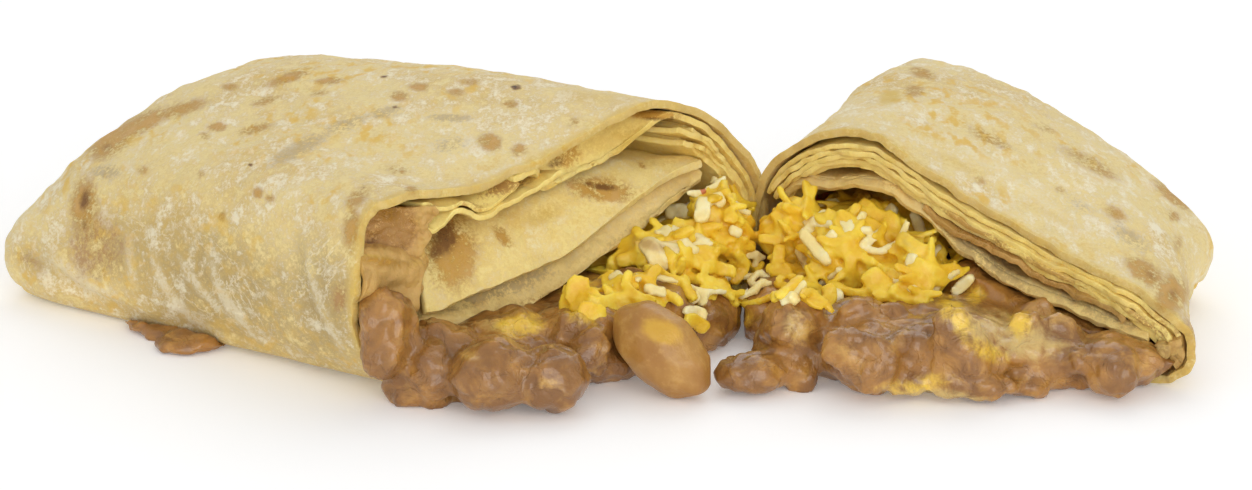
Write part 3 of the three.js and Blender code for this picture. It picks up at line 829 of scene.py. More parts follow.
@dataclass(frozen=True)
class Half:
    """One half of the burrito: a flattened roll that starts at the cut.

    Places on it are cut coordinates: millimetres across from the hinge, millimetres up, and
    millimetres into the half, below 0 where something stands proud of the cut.
    """

    cut_width: float
    cut_azimuth: float
    normal_azimuth: float
    far_side: tuple[float, float]
    near_side: tuple[float, float]
    depth: float
    end_height: float
    stations: tuple[Station, ...]

    def floor(self, across: Points, along: Points) -> Points:
        """Return floor points for shares across and along the half."""
        across, along = np.atleast_1d(across)[:, None], np.atleast_1d(along)[:, None]
        inside, ahead = np.maximum(along, 0), np.maximum(-along, 0)
        far = HINGE + heading(self.far_side[1]) * self.far_side[0] * inside
        near_cut = HINGE + heading(self.cut_azimuth) * self.cut_width
        near = near_cut + heading(self.near_side[1]) * self.near_side[0] * inside
        proud = heading(self.normal_azimuth) * ahead * self.depth
        return far * (1 - across) + near * across + proud

    def at(self, places: Points) -> Points:
        """Return the points for rows of cut coordinates."""
        places = np.asarray(places, float)
        along = places[:, 2] / self.depth
        ground = self.floor(places[:, 0] / self.cut_width, along)
        lower = 1 - (1 - self.end_height) * np.maximum(along, 0)
        return np.column_stack([ground, places[:, 1] * lower])

    def outline(self, along: float, around: Points) -> Points:
        """Return points round the roll's outside.

        Args:
            along: Share of the way along the half.
            around: Shares of the way round, from the hinge side of the floor, along the
                floor, up the near side and back over the top.
        """
        steps = [station.along for station in self.stations]
        share = np.interp(along, steps, np.linspace(0, 1, len(steps)))
        tracks = []
        for k in range(len(self.stations[0].outline)):
            across = np.array([s.outline[k][0] for s in self.stations])
            ground = self.floor(across, np.array(steps))
            track = np.column_stack([ground, [s.outline[k][1] for s in self.stations]])
            tracks.append(spline(track, np.array([share]))[0])
        return spline(tracks, around, closed=True)

    def inset(self, along: float, around: Points, distance: float) -> Points:
        """Return points round the roll's outside, moved in by a distance."""
        nudge = 1e-3
        ring = self.outline(along, around)
        run = self.outline(along, around + nudge) - self.outline(along, around - nudge)
        ends = self.outline(along, np.array([0.0, NEAR_CORNER]))
        chord = ends[1] - ends[0]
        chord[2] = 0
        chord /= np.linalg.norm(chord)
        flat = np.column_stack([run @ chord, run[:, 2]])
        flat /= np.linalg.norm(flat, axis=1)[:, None]
        moved = ring - chord * (flat[:, 1] * distance)[:, None]
        moved[:, 2] = np.maximum(ring[:, 2], 0) + flat[:, 0] * distance
        return moved

    def arc(self, depth: float, insets: Sequence[float], start: float, end: float) -> Points:
        """Return a line that follows the roll's outside from within.

        Args:
            depth: Millimetres into the half, below 0 where it stands proud of the cut.
            insets: Millimetres in from the outside, at even steps along the line.
            start: Share of the way round where it starts.
            end: Share of the way round where it ends.
        """
        shares = np.linspace(start, end, ARC_STEPS)
        distance = np.interp(shares, np.linspace(start, end, len(insets)), insets)
        line = self.inset(max(depth, 0) / self.depth, shares, distance)
        line[:, :2] += heading(self.normal_azimuth) * max(-depth, 0)
        return line

    def arcs(self, span: Place, *rows: Sequence[float]) -> list[Points]:
        """Return the rows of a turn, each given as its depth and then its insets.

        Args:
            span: Shares of the way round where the turn starts and ends.
            rows: The rows, in millimetres.
        """
        return [self.arc(depth, insets, *span) for depth, *insets in rows]

    def levels(self, *rows: tuple) -> list[Points]:
        """Return rows at one depth each.

        Args:
            rows: For each, its line of [across, height], its depth and maybe how far it is raised.
        """
        return [self.at([[across, height + sum(rise), depth] for across, height in line])
                for line, depth, *rise in rows]


LEFT = Half(
    cut_width=75, cut_azimuth=221.7, normal_azimuth=-48.3, far_side=(92.5, 152.3),
    near_side=(79.0, 142.5), depth=86, end_height=0.72, stations=(
        Station(0.0, [[0.06, 0], [0.47, 0], [0.87, 0], [1.02, 4.8], [1.06, 16], [1.03, 27],
                      [0.94, 30], [0.75, 28.6], [0.54, 31.3], [0.32, 34.5], [0.12, 29.1],
                      [-0.013, 17.5], [-0.03, 6]]),
        Station(0.4, [[0.08, 0], [0.48, 0], [0.91, 0], [1.0, 4.2], [1.03, 12], [1.0, 22],
                      [0.92, 27.4], [0.75, 30.2], [0.54, 32.5], [0.32, 33.9], [0.1, 30.2],
                      [-0.02, 16], [-0.03, 6]]),
        Station(0.8, [[0.08, 0], [0.5, 0], [0.93, 0], [1.02, 2.2], [1.045, 6], [1.01, 12.4],
                      [0.93, 19.8], [0.78, 24.8], [0.57, 29.1], [0.32, 31.1], [0.08, 29.1],
                      [-0.04, 16], [-0.03, 5]]),
        Station(1.0, [[0.1, 0], [0.5, 0], [0.91, 0], [0.99, 1.8], [1.03, 5.4], [1.01, 8.8],
                      [0.93, 12.4], [0.79, 16.8], [0.6, 21.4], [0.33, 24.6], [0.05, 25.6],
                      [-0.05, 15], [-0.03, 5]])))
RIGHT = Half(
    cut_width=77, cut_azimuth=-38, normal_azimuth=-128, far_side=(62.2, 62.2),
    near_side=(48.1, 80.1), depth=55, end_height=0.86, stations=(
        Station(0.0, [[0.03, 0], [0.5, 0], [0.89, 0], [0.97, 2], [0.998, 5.4], [0.975, 10],
                      [0.86, 14.6], [0.7, 17.6], [0.53, 21.4], [0.42, 24.5], [0.28, 28.5],
                      [0.13, 26.6], [0, 17]]),
        Station(0.5, [[0.06, 0], [0.5, 0], [0.88, 0], [0.955, 2], [0.985, 5.8], [0.97, 11.4],
                      [0.86, 17.6], [0.7, 21.8], [0.53, 25.4], [0.38, 27.4], [0.22, 28.2],
                      [0.04, 24.6], [-0.02, 10]]),
        Station(1.0, [[0.06, 0], [0.5, 0], [0.9, 0], [1.01, 2.3], [1.065, 6.4], [1.05, 11.6],
                      [0.9, 16], [0.72, 19.9], [0.53, 22.9], [0.38, 24.7], [0.2, 25.8],
                      [0.02, 23.6], [-0.04, 9]])))


# ---- The outer tortilla ------------------------------------------------------------------
DENTS = ((26, 0.6, 2), (8, 0.4, 3), (2.4, 0.16, 2))  # Wavelength and height in mm, and octaves.


@dataclass
class Wrap:
    """The outermost turn of tortilla round one half, open at the cut, tucked in at its end."""

    name: str
    half: Half
    marks: Sequence[Mark]
    creases: Sequence[Crease]
    seed: int
    around: int = 260
    along: int = 116
    wall: float = 1.2
    rounding: float = 7.0
    body_share: float = 0.80
    round_share: float = 0.09
    end_turn: float = 84.0
    tuck: float = 3.0
    pleats: int = 9
    pleat_depth: float = 0.6
    slit: Place = (0.12, 0.006)
    worn: float = 0.4
    oily_reach: float = 2.6
    oily: float = 0.7
    frayed_reach: float = 4.0

    def ring(self, place: float, around: Points) -> Points:
        """Return the ring at a share of the way from the cut to the slit in the closed end."""
        straight = 1 - self.rounding / self.half.depth
        if place <= self.body_share:
            return self.half.outline(straight * place / self.body_share, around)
        turned = min((place - self.body_share) / self.round_share, 1.0)
        turn = turned * math.radians(self.end_turn)
        ring = self.half.outline(straight + (1 - straight) * math.sin(turn), around)
        middle = (ring.max(0) + ring.min(0)) / 2
        spread = (ring.max(0) - ring.min(0)) / 2
        drawn_in = self.rounding * (1 - math.cos(turn))
        rim = 1 - drawn_in / np.array([np.linalg.norm(spread[:2]), spread[2]])
        closed = self.body_share + self.round_share
        closing = max(place - closed, 0) / (1 - closed)
        wide, high = rim * (1 - closing) + np.array(self.slit) * closing
        ring = middle + (ring - middle) * np.array([wide, wide, high])
        pleat = np.sin(2 * math.pi * self.pleats * around) * math.sin(math.pi * closing)
        inwards = self.tuck * closing ** 2 + self.pleat_depth * pleat
        ring[:, :2] += heading(self.half.normal_azimuth) * inwards[:, None]
        return ring

    def build(self) -> None:
        """Make the piece, its thickness, creases and painted marks."""
        piece, around, along = new_grid(self.name, self.around, self.along)
        points = np.empty((len(around), 3))
        for place in np.unique(along.round(6)):
            row = np.abs(along - place) < SAME_ROW
            points[row] = self.ring(float(place), around[row])
        put(piece, points)
        weld(piece, 0.001)
        self.shape(piece)
        apply(piece, "SOLIDIFY", thickness=self.wall * MM, offset=-1.0, material_offset=1,
              material_offset_rim=1, use_quality_normals=True)
        apply(piece, "BEVEL", width=self.worn * MM, segments=2, limit_method="ANGLE",
              angle_limit=math.radians(70))
        keep_above_floor(piece)
        paint(piece, self.marks, self.creases, self.near_cut(piece, self.oily_reach) * self.oily)
        piece.data.materials.append(OUTSIDE.material())
        piece.data.materials.append(INSIDE.material())
        finish_piece(piece, "tortilla", "tortilla_wrap")

    def near_cut(self, piece: bpy.types.Object, reach: float) -> Points:
        """Return 1 for vertices at the cut, falling to 0 a reach in millimetres behind it."""
        before = (points_of(piece)[:, :2] - HINGE) @ heading(self.half.normal_azimuth)
        return smooth(before, -reach, 0.0)

    def shape(self, piece: bpy.types.Object) -> None:
        """Press in what the filling, the folding and the griddle left on the surface."""
        points = points_of(piece)
        off_floor = smooth(points[:, 2], 0.2, 3.0)
        for k, (wavelength, height, octaves) in enumerate(DENTS):
            roughen(piece, wavelength, height, self.seed + k, octaves, off_floor)
        crease(piece, self.creases)
        self.fray(piece)

    def fray(self, piece: bpy.types.Object) -> None:
        """Make the cut edge wander a little."""
        points = points_of(piece)
        out = np.append(heading(self.half.normal_azimuth), 0)
        wander = ripple(points, 6, self.seed + 5) * 0.9 + ripple(points, 1.6, self.seed + 6) * 0.25
        put(piece, points + out * (wander * self.near_cut(piece, self.frayed_reach))[:, None])


# Short names for the layers in the tables of marks. M is a damp tone that also paints shade on the
# near side.
T, C, G, S, Y = Layer.TOAST, Layer.CHAR, Layer.GREY_AND_SHADE, Layer.STAIN, Layer.YELLOW
F, M = Layer.FLOUR, Layer.DAMP_AND_SHADE
LEFT_MARKS = (
    # Painted shade on the near side and the tucked end, in a damp tone.
    Mark(M, (225, 285), (130, 62), 20, 1.1),
    Mark(M, (120, 250), (60, 44), 20, 0.8),
    Mark(M, (320, 305), (44, 80), -10, 1.1),
    Mark(M, (40, 262), (40, 22), 35, 0.7),
    Mark(T, (110, 142), (22, 13), -35, 1.1), Mark(T, (140, 124), (30, 9), -28, 1.0),
    Mark(T, (182, 109), (28, 7), -18, 0.8), Mark(C, (107, 147), (8, 6), -30, 0.6),
    Mark(T, (84, 205), (13, 26), 4, 1.0), Mark(C, (85, 200), (6, 13), 10, 0.95),
    Mark(C, (84, 224), (3, 7), 0, 0.7), Mark(S, (98, 250), (40, 40), 0, 0.55),
    Mark(S, (30, 262), (24, 14), 40, 0.4), Mark(G, (107, 172), (18, 10), 0, 0.8),
    Mark(G, (300, 148), (40, 9), -28, 0.9), Mark(G, (345, 125), (32, 8), -20, 0.8),
    Mark(G, (385, 112), (20, 7), -10, 0.8), Mark(G, (450, 118), (26, 5), 0, 0.9),
    # The grey at (300, 340) is painted shade low on the near side.
    Mark(G, (450, 145), (26, 12), -10, 0.6), Mark(G, (300, 340), (52, 18), 20, 0.5),
    Mark(T, (290, 77), (24, 5), -20, 0.9), Mark(T, (217, 127), (10, 5), 0, 0.8),
    Mark(T, (255, 129), (18, 5), -15, 0.8), Mark(T, (204, 136), (6, 4), 0, 0.7),
    Mark(T, (143, 170), (8, 5), 0, 0.6), Mark(T, (201, 175), (4, 6), 0, 0.6),
    Mark(T, (258, 193), (5, 6), 0, 0.8), Mark(T, (270, 198), (5, 4), 0, 0.7),
    Mark(T, (222, 216), (4, 6), 0, 0.7), Mark(T, (230, 87), (9, 4), 0, 0.7),
    Mark(T, (329, 81), (15, 4), -5, 0.8), Mark(T, (265, 101), (15, 4), -15, 0.8),
    Mark(T, (319, 93), (11, 3), -10, 0.7), Mark(C, (251, 165), (2.2, 1.6), 0, 1.5),
    Mark(T, (358, 197), (16, 8), -40, 0.75), Mark(T, (351, 228), (9, 26), 5, 0.7),
    Mark(C, (363, 187), (3, 4), 0, 0.6), Mark(S, (340, 298), (9, 16), 5, 0.8),
    Mark(T, (419, 87), (10, 4), 0, 0.9), Mark(T, (399, 96), (10, 5), 0, 0.9),
    Mark(T, (456, 92), (9, 4), 0, 0.7), Mark(T, (469, 82), (12, 4), 0, 0.6),
    Mark(T, (510, 104), (8, 4), 0, 0.9), Mark(C, (516, 87), (4.5, 2.4), 0, 1.9),
    Mark(T, (490, 142), (12, 8), 10, 1.0), Mark(T, (519, 150), (8, 6), -10, 0.9),
    Mark(T, (574, 122), (9, 5), -20, 0.6), Mark(T, (398, 170), (11, 5), 10, 0.8),
    Mark(T, (411, 189), (6, 3), 0, 0.9), Mark(C, (384, 77), (3.4, 1.2), -20, 1.6),
    Mark(C, (397, 107), (3.4, 1.2), -10, 1.6), Mark(Y, (600, 98), (62, 12), 5, 0.55),
    Mark(Y, (330, 215), (16, 40), -10, 0.35),
)
LEFT_CREASES = (
    Crease([[33, 250], [58, 276], [84, 296], [128, 313]], 1.3, -1.9),
    Crease([[30, 240], [60, 266], [90, 286], [130, 304]], 1.8, 0.8),
    Crease([[128, 225], [130, 262], [136, 300]], 0.9, 0.45),
    Crease([[150, 245], [162, 282], [192, 318], [240, 345]], 0.9, 0.5),
    Crease([[175, 250], [196, 284], [230, 320]], 0.8, 0.4),
    Crease([[160, 262], [176, 300], [214, 334]], 1.1, -0.5),
    Crease([[305, 240], [318, 300], [352, 368]], 0.8, 0.45),
    Crease([[290, 232], [304, 296], [336, 362]], 1.2, -0.4),
    Crease([[236, 236], [252, 290], [290, 350]], 1.0, -0.35),
    Crease([[206, 250], [226, 300], [262, 346]], 0.9, 0.35),
)
RIGHT_MARKS = (
    Mark(T, (922, 73), (13, 5), 15, 0.9), Mark(T, (914, 91), (10, 6), 0, 0.8),
    Mark(Y, (890, 97), (15, 8), -20, 1.0), Mark(T, (990, 138), (24, 6), 25, 0.7),
    Mark(T, (1090, 163), (34, 7), 28, 0.7), Mark(T, (1173, 196), (22, 6), 38, 1.0),
    Mark(C, (1173, 195), (14, 3), 38, 0.45), Mark(T, (1145, 272), (20, 10), 35, 1.1),
    Mark(T, (1172, 293), (15, 17), 20, 1.2), Mark(C, (1150, 275), (11, 5), 38, 0.6),
    Mark(C, (1173, 295), (9, 10), 20, 0.6), Mark(S, (1182, 350), (24, 32), 0, 1.0),
    Mark(T, (1173, 216), (8, 6), 20, 0.7), Mark(T, (1178, 243), (6, 10), 10, 0.5),
    Mark(T, (1115, 213), (16, 8), 30, 0.5), Mark(G, (1131, 238), (28, 10), 35, 0.7),
    Mark(G, (1080, 205), (26, 9), 30, 0.5), Mark(T, (1045, 128), (12, 4), 25, 0.6),
    Mark(Y, (960, 165), (46, 9), 25, 0.6), Mark(Y, (1050, 215), (50, 8), 28, 0.5),
    Mark(T, (873, 148), (10, 4), 0, 0.5), Mark(Y, (800, 152), (30, 9), -25, 0.6),
    Mark(T, (1060, 190), (7, 4), 20, 0.5), Mark(T, (980, 180), (8, 4), 30, 0.5),
)
RIGHT_CREASES = (
    Crease([[1188, 250], [1196, 285], [1190, 318]], 1.2, -0.8),
    Crease([[1010, 150], [1080, 196], [1150, 240]], 1.4, -0.35),
    Crease([[930, 120], [1000, 170], [1080, 226]], 1.2, 0.3),
)


# ---- Turns, folds and scraps -------------------------------------------------------------
CROWDING = 1.6  # Above 1, the rows of a sheet lie closer together near its showing edge.
TEAR_LENGTH = 5.0
CURL_LENGTH = 2.2
SWAY_LENGTH = 14.0
WAVE_LENGTH = 9.0
WRINKLE_LENGTH = 2.5


@dataclass
class Sheet:
    """A thin sheet of tortilla whose rows run across the cut, from its showing edge inwards."""

    name: str
    half: Half
    rows: Sequence[Points]
    finish: TortillaFinish
    nodes: tuple[str, ...]
    seed: int
    thickness: float = 1.0
    columns: int = 130
    lengths: int = 24
    wave: float = 0.5
    wrinkle: float = 0.12
    ragged: float = 0.5
    ruffle: float = 0.0
    ruffle_length: float = 9.0
    oily: float = 0.4
    marks: Sequence[Mark] = ()

    def surface(self, across: Points, along: Points) -> Points:
        """Return the sheet's points for shares across and along it."""
        points = np.empty((len(across), 3))
        shares = np.unique(across.round(6))
        lines = np.stack([even_spline(row, shares) for row in self.rows])
        index = np.searchsorted(shares, across.round(6))
        for share in np.unique(along.round(6)):
            row = np.abs(along - share) < SAME_ROW
            path = spline(lines.reshape(len(self.rows), -1), np.array([share]) ** CROWDING)
            points[row] = path.reshape(-1, 3)[index[row]]
        return points

    def build(self) -> None:
        """Make the sheet, its waves, thickness and marks."""
        piece, across, along = new_grid(self.name, self.columns, self.lengths)
        points = self.surface(across, along)
        near_edge = 1 - smooth(along, 0.0, 0.45)
        run = np.zeros_like(points)
        run[:, 0] = across * np.linalg.norm(np.diff(self.rows[0], axis=0), axis=1).sum()
        torn = ripple(run, TEAR_LENGTH, self.seed, 3) * self.ragged * near_edge
        points[:, :2] += heading(self.half.normal_azimuth) * torn[:, None]
        swing = np.sin(run[:, 0] * 2 * math.pi / self.ruffle_length
                       + 2.2 * ripple(run, SWAY_LENGTH, self.seed + 2, 1))
        curl = ripple(run, CURL_LENGTH, self.seed + 1) * self.ragged * 0.35
        points[:, 2] += (curl + swing * self.ruffle) * near_edge
        put(piece, points)
        roughen(piece, WAVE_LENGTH, self.wave, self.seed + 3, 2)
        roughen(piece, WRINKLE_LENGTH, self.wrinkle, self.seed + 4, 3)
        apply(piece, "SOLIDIFY", thickness=self.thickness * MM, offset=0.0,
              use_quality_normals=True)
        apply(piece, "SUBSURF", levels=1, render_levels=1)
        keep_above_floor(piece)
        before = (points_of(piece)[:, :2] - HINGE) @ heading(self.half.normal_azimuth)
        paint(piece, self.marks, rim=smooth(before, -1.6, 0.0) * self.oily)
        piece.data.materials.append(self.finish.material())
        finish_piece(piece, "tortilla_inner", *self.nodes, angle=80)


RUFFLE_EDGE = [[65.5, 23.4], [64.2, 23.0], [62.8, 23.4], [61.8, 24.1], [60.9, 25.0], [59.6, 25.2],
               [57.8, 24.3], [56.3, 23.4], [55.0, 23.2], [53.5, 23.4], [51.8, 24.0], [49.3, 24.3],
               [46.8, 25.3], [44.5, 25.7], [41.6, 27.0], [40.4, 27.4]]
RUFFLE_DEEP = [[65.5, 25.0], [61, 25.6], [56, 24.6], [51, 25.0], [46, 25.8], [41, 27.0]]
UPPER_RUFFLE_EDGE = [[66.3, 27.4], [64.9, 27.0], [63.6, 26.1], [61.8, 25.9], [60.2, 25.9],
                     [59.0, 26.1], [57.4, 25.5], [56.3, 24.5], [54.8, 24.1], [52.9, 24.5],
                     [51.0, 25.2], [49.5, 26.0], [48.5, 27.0]]
UPPER_RUFFLE_DEEP = [[66, 27.2], [61, 27.0], [56, 26.2], [51, 26.6], [48.5, 27.2]]
FOLD_EDGE = [[66.4, 11.0], [63.8, 10.7], [59.5, 11.5], [53.5, 12.1], [47.3, 13.0], [40.7, 13.7],
             [36.2, 15.4], [30.6, 18.0], [25.6, 20.1], [18.2, 22.1], [12, 22.9]]
FOLD_MIDDLE = [[64.2, 16.6], [61.8, 16.6], [57.4, 17.4], [51.6, 17.2], [45.4, 17.8], [39.8, 18.6],
               [34.8, 19.8], [29.2, 21.6], [23.8, 22.6], [16.0, 23.4], [11, 23.2]]
FOLD_BACK = [[60.2, 20.2], [57.6, 21.2], [54.5, 21.9], [49.4, 20.5], [43.6, 20.8], [39.1, 22.2],
             [33.5, 23.6], [26.9, 24.3], [21.8, 24.2], [15, 23.6], [10, 22.6]]
LINING_EDGE = [[70.4, 8.9], [67.3, 8.0], [63.7, 7.7], [59.9, 7.5], [56.6, 7.3], [53.9, 7.3],
               [48.6, 7.6], [43.7, 8.4], [38.8, 10.1], [34.8, 11.4], [30.4, 13.0], [24.7, 15.0],
               [19.6, 17.4], [12.4, 20.2]]
LINING_BAND = [[70.4, 10.2], [65.5, 9.7], [61.4, 9.3], [58.0, 8.6], [52.4, 8.2], [48.5, 8.4],
               [43.7, 9.4], [40.2, 11.2], [34.8, 12.7], [28.8, 14.3], [22.7, 16.5], [16.5, 18.8],
               [11.3, 21.4]]
LINING_BACK = [[69, 10.8], [64, 10.8], [57, 10.8], [49, 11.8], [40, 14.0], [33, 16.2],
               [27, 18.4], [21, 20.6], [16, 21.6], [11, 22.0]]
SIDE_EDGE = [[64.6, 27.0], [64.0, 25.8], [65.9, 24.2], [65.0, 22.4], [66.4, 20.6], [65.3, 18.7],
             [67.2, 16.6], [66.6, 14.6], [68.8, 12.8], [70.0, 11.2]]
SIDE_STRIP = [[67.4, 27.2], [67.7, 25.6], [68.1, 23.4], [68.2, 22.0], [68.2, 20.0], [68.8, 17.9],
              [69.3, 15.5], [69.8, 13.6], [70.6, 12.5], [71.4, 11.2]]
SIDE_BACK = [[72.5, 27.6], [73.4, 25.2], [74, 22.3], [74.6, 18.1], [74.8, 14.4], [74.8, 10.6]]
RAG_TOP = [[77.9, 21.9], [76.0, 21.6], [73.3, 20.6], [71.0, 19.8], [68.9, 19.3], [67.1, 18.1]]
RAG_BOTTOM = [[78.0, 17.9], [77.0, 17.3], [74.7, 16.2], [72.2, 14.4], [69.9, 13.6], [68.6, 13.9]]
SECOND_MARKS = (
    # The toast and char near (655, 117) are toast that also paints the shade of the gap under the
    # rim.
    Mark(T, (652, 114), (26, 5), 4, 1.1), Mark(T, (606, 118), (12, 8), -30, 0.9),
    Mark(C, (655, 119), (15, 2.5), 2, 0.75), Mark(C, (672, 118), (4, 2.5), 0, 0.7),
    Mark(Y, (620, 140), (70, 18), -8, 0.8), Mark(T, (566, 156), (14, 12), -30, 1.1),
    Mark(C, (556, 163), (12, 7), -30, 0.8), Mark(C, (630, 148), (1.4, 1.4), 0, 1.6),
)
THIRD_MARKS = (Mark(Y, (700, 150), (60, 20), 25, 0.6), Mark(T, (690, 156), (14, 4), 10, 0.8))
FOLD_MARKS = (
    Mark(C, (444, 236), (16, 21), 15, 1.1), Mark(C, (437, 250), (9, 14), 30, 0.95),
    Mark(C, (446, 222), (7, 5), 0, 0.9), Mark(C, (452, 240), (5, 8), 0, 1.1),
    Mark(T, (449, 250), (25, 36), -5, 1.2), Mark(T, (503, 237), (13, 6), 50, 1.0),
    Mark(T, (600, 189), (32, 11), 8, 1.2), Mark(C, (603, 187), (16, 4), 5, 1.05),
    Mark(C, (589, 184), (7, 3), 0, 0.9), Mark(Y, (545, 213), (34, 13), -22, 0.7),
    Mark(Y, (470, 300), (36, 4), -18, 0.9), Mark(Y, (660, 163), (40, 7), -5, 0.6),
    Mark(T, (566, 172), (9, 5), 0, 0.5), Mark(T, (642, 166), (5, 3), 30, 0.6),
)
LINING_MARKS = (
    # The grey at (500, 290) and the dark band at (470, 305) are painted shade under the fold's
    # lower edge, with grey where filling shows through.
    Mark(G, (500, 290), (60, 10), -18, 1.0), Mark(C, (470, 305), (40, 5), -16, 0.5),
    Mark(G, (620, 238), (50, 8), -42, 0.5), Mark(S, (535, 300), (40, 6), -14, 0.5),
    Mark(C, (551, 294), (3, 2.4), 0, 1.0), Mark(S, (600, 285), (30, 8), -30, 0.7),
    Mark(C, (415, 318), (10, 7), 0, 1.0), Mark(T, (650, 222), (20, 4), -40, 0.4),
    Mark(F, (500, 318), (70, 4), -8, 1.6), Mark(F, (585, 284), (40, 6), -32, 1.8),
    Mark(F, (640, 245), (36, 5), -38, 1.6),
)
RUFFLE_MARKS = (
    # These stains also paint the shade in the pocket under the ruffle.
    Mark(S, (505, 186), (30, 8), -20, 1.0), Mark(S, (470, 205), (20, 6), 0, 0.5),
    Mark(T, (478, 210), (10, 5), 0, 0.5), Mark(Y, (540, 175), (26, 8), -30, 0.6),
)
SIDE_MARKS = (
    # The char marks paint shade in the cavities of the recess.
    Mark(C, (370, 246), (10, 16), 20, 0.9), Mark(S, (390, 226), (26, 32), 10, 1.6),
    Mark(C, (402, 250), (8, 9), 0, 0.6), Mark(T, (388, 212), (18, 14), 0, 0.6),
    Mark(C, (366, 222), (6, 18), 10, 0.55),
)
RAG_MARKS = (
    Mark(T, (385, 262), (28, 6), 8, 0.7), Mark(C, (392, 282), (20, 12), 15, 0.5),
    Mark(Y, (378, 257), (26, 3), 8, 0.7), Mark(C, (366, 276), (6, 12), 0, 0.5),
)
SLACK = ((18.0, 28.0), (38.0, 46.0))
UNDER_RIM = (2.1,)
SECOND_SPAN = (0.572, 0.905)
SECOND_DEPTHS = (0.3, 55.0)
CREST_DEPTH = 4.0
RISEN_DEPTH = 9.0
ABOVE_FOLD = 1.3


def sunk(along: float) -> Points:
    """Return the left second turn at a share of its way in, from 0 at its edge to 1.

    Over the big fold it has slid back. It starts behind the fold's crest, lies on the fold there
    and rises to its place under the outer turn farther in.
    """
    front = LEFT.arc(0.0, UNDER_RIM, *SECOND_SPAN)
    across = np.linalg.norm(front[:, :2] - HINGE, axis=1)
    slack = smooth(across, *SLACK[0]) * (1 - smooth(across, *SLACK[1]))
    start, end = SECOND_DEPTHS
    depth = start + CREST_DEPTH * slack * (1 - along) + (end - start) * along ** 2
    line = np.stack([LEFT.arc(float(d), UNDER_RIM, *SECOND_SPAN)[k] for k, d in enumerate(depth)])
    fallen = slack * (1 - smooth(depth, CREST_DEPTH, RISEN_DEPTH))
    rest = np.interp(across, *np.array(FOLD_BACK)[::-1].T) + ABOVE_FOLD
    line[:, 2] += (np.minimum(line[:, 2], rest) - line[:, 2]) * fallen
    return line


def left_sheets() -> list[Sheet]:
    """Return the turns, the big fold and the lining that show at the left cut."""
    return [
        Sheet("left_second_turn", LEFT, [sunk(k / 7) for k in range(8)], TURN,
              ("second_turn_left",), 61, wave=0.35, wrinkle=0.18, ragged=0.5, columns=150,
              lengths=48, marks=SECOND_MARKS),
        Sheet("left_third_turn", LEFT,
              LEFT.arcs((0.733, 0.908), (0.0, 4.0, 3.6, 4.0, 4.3, 4.0, 3.8), (4, 4.2), (14, 4.3),
                        (48, 4.3)),
              TURN, ("third_turn_left",), 67, thickness=0.9, wave=0.25, ragged=0.9,
              marks=THIRD_MARKS, columns=90),
        Sheet("left_third_ply", LEFT,
              LEFT.arcs((0.75, 0.905), (0.5, 3.2, 3.5, 3.1, 3.3), (6, 3.3), (40, 3.4)),
              TURN, (), 81, thickness=0.7, wave=0.2, ragged=1.2, columns=90),
        Sheet("left_fourth_ply", LEFT,
              LEFT.arcs((0.76, 0.905), (0.1, 5.0, 4.7, 5.1, 4.8), (6, 5.0), (40, 5.0)),
              TURN, (), 82, thickness=0.8, wave=0.2, ragged=1.2, columns=90),
        Sheet("left_packed_turns", LEFT,
              LEFT.arcs((0.752, 0.905), (2.2, 4.0), (8, 4.0), (40, 4.1)),
              TURN, (), 83, thickness=3.4, wave=0.1, ragged=0.3, columns=90),
        Sheet("left_fourth_turn", LEFT,
              LEFT.arcs((0.745, 0.905), (0.6, 5.4, 5.9, 5.5, 6.2, 5.8), (4, 5.8), (14, 5.8),
                        (48, 5.8)),
              TURN, ("fourth_turn_left",), 68, thickness=0.9, wave=0.25, ragged=1.1, columns=90),
        Sheet("left_upper_ruffle", LEFT,
              LEFT.levels((UPPER_RUFFLE_EDGE, 0.2), (UPPER_RUFFLE_DEEP, 5),
                          (UPPER_RUFFLE_DEEP, 20, 0.4)),
              TURN, (), 69, thickness=0.7, wave=0.15, ragged=0.5, columns=100,
              marks=RUFFLE_MARKS),
        Sheet("left_ruffled_turn", LEFT,
              LEFT.levels((RUFFLE_EDGE, -0.2), (RUFFLE_DEEP, 5, -0.3), (RUFFLE_DEEP, 14),
                          (RUFFLE_DEEP, 50, 0.5)),
              TURN, ("ruffled_turn_left",), 62, thickness=0.8, wave=0.2, ragged=0.6,
              marks=RUFFLE_MARKS),
        Sheet("left_inner_fold", LEFT,
              LEFT.levels((FOLD_EDGE, -0.2), (FOLD_MIDDLE, 3.6), (FOLD_BACK, 8),
                          (FOLD_BACK, 16, 0.6), (FOLD_BACK, 30, 0.6)),
              FOLD, ("inner_fold",), 63, thickness=1.3, wave=0.4, ragged=0.45, columns=150,
              lengths=48, marks=FOLD_MARKS),
        Sheet("left_lining", LEFT,
              LEFT.levels((LINING_EDGE, 0.0), (LINING_BAND, 0.9), (LINING_BACK, 6),
                          (LINING_BACK, 18, 0.3), (LINING_BACK, 56, 0.3)),
              LINING, ("lining_left",), 64, thickness=0.9, wave=0.4, wrinkle=0.3, ragged=0.5,
              columns=150, lengths=44, marks=LINING_MARKS),
        Sheet("left_side_turn", LEFT,
              LEFT.levels((SIDE_EDGE, -0.2), (SIDE_STRIP, 0.8), (SIDE_BACK, 7), (SIDE_BACK, 26)),
              STAINED, ("side_turn_left",), 65, thickness=0.8, wave=1.3, wrinkle=1.0, ragged=0.6,
              columns=80, lengths=44, marks=SIDE_MARKS),
        Sheet("bean_stained_rag", LEFT,
              LEFT.levels((RAG_TOP, 4.0, 1.2), (RAG_TOP, 0.2), (RAG_BOTTOM, -0.9),
                          (RAG_BOTTOM, 0.6, -2.4)),
              STAINED, (), 66, wave=1.2, wrinkle=0.55, ragged=0.9, columns=60, lengths=50,
              marks=RAG_MARKS),
    ]


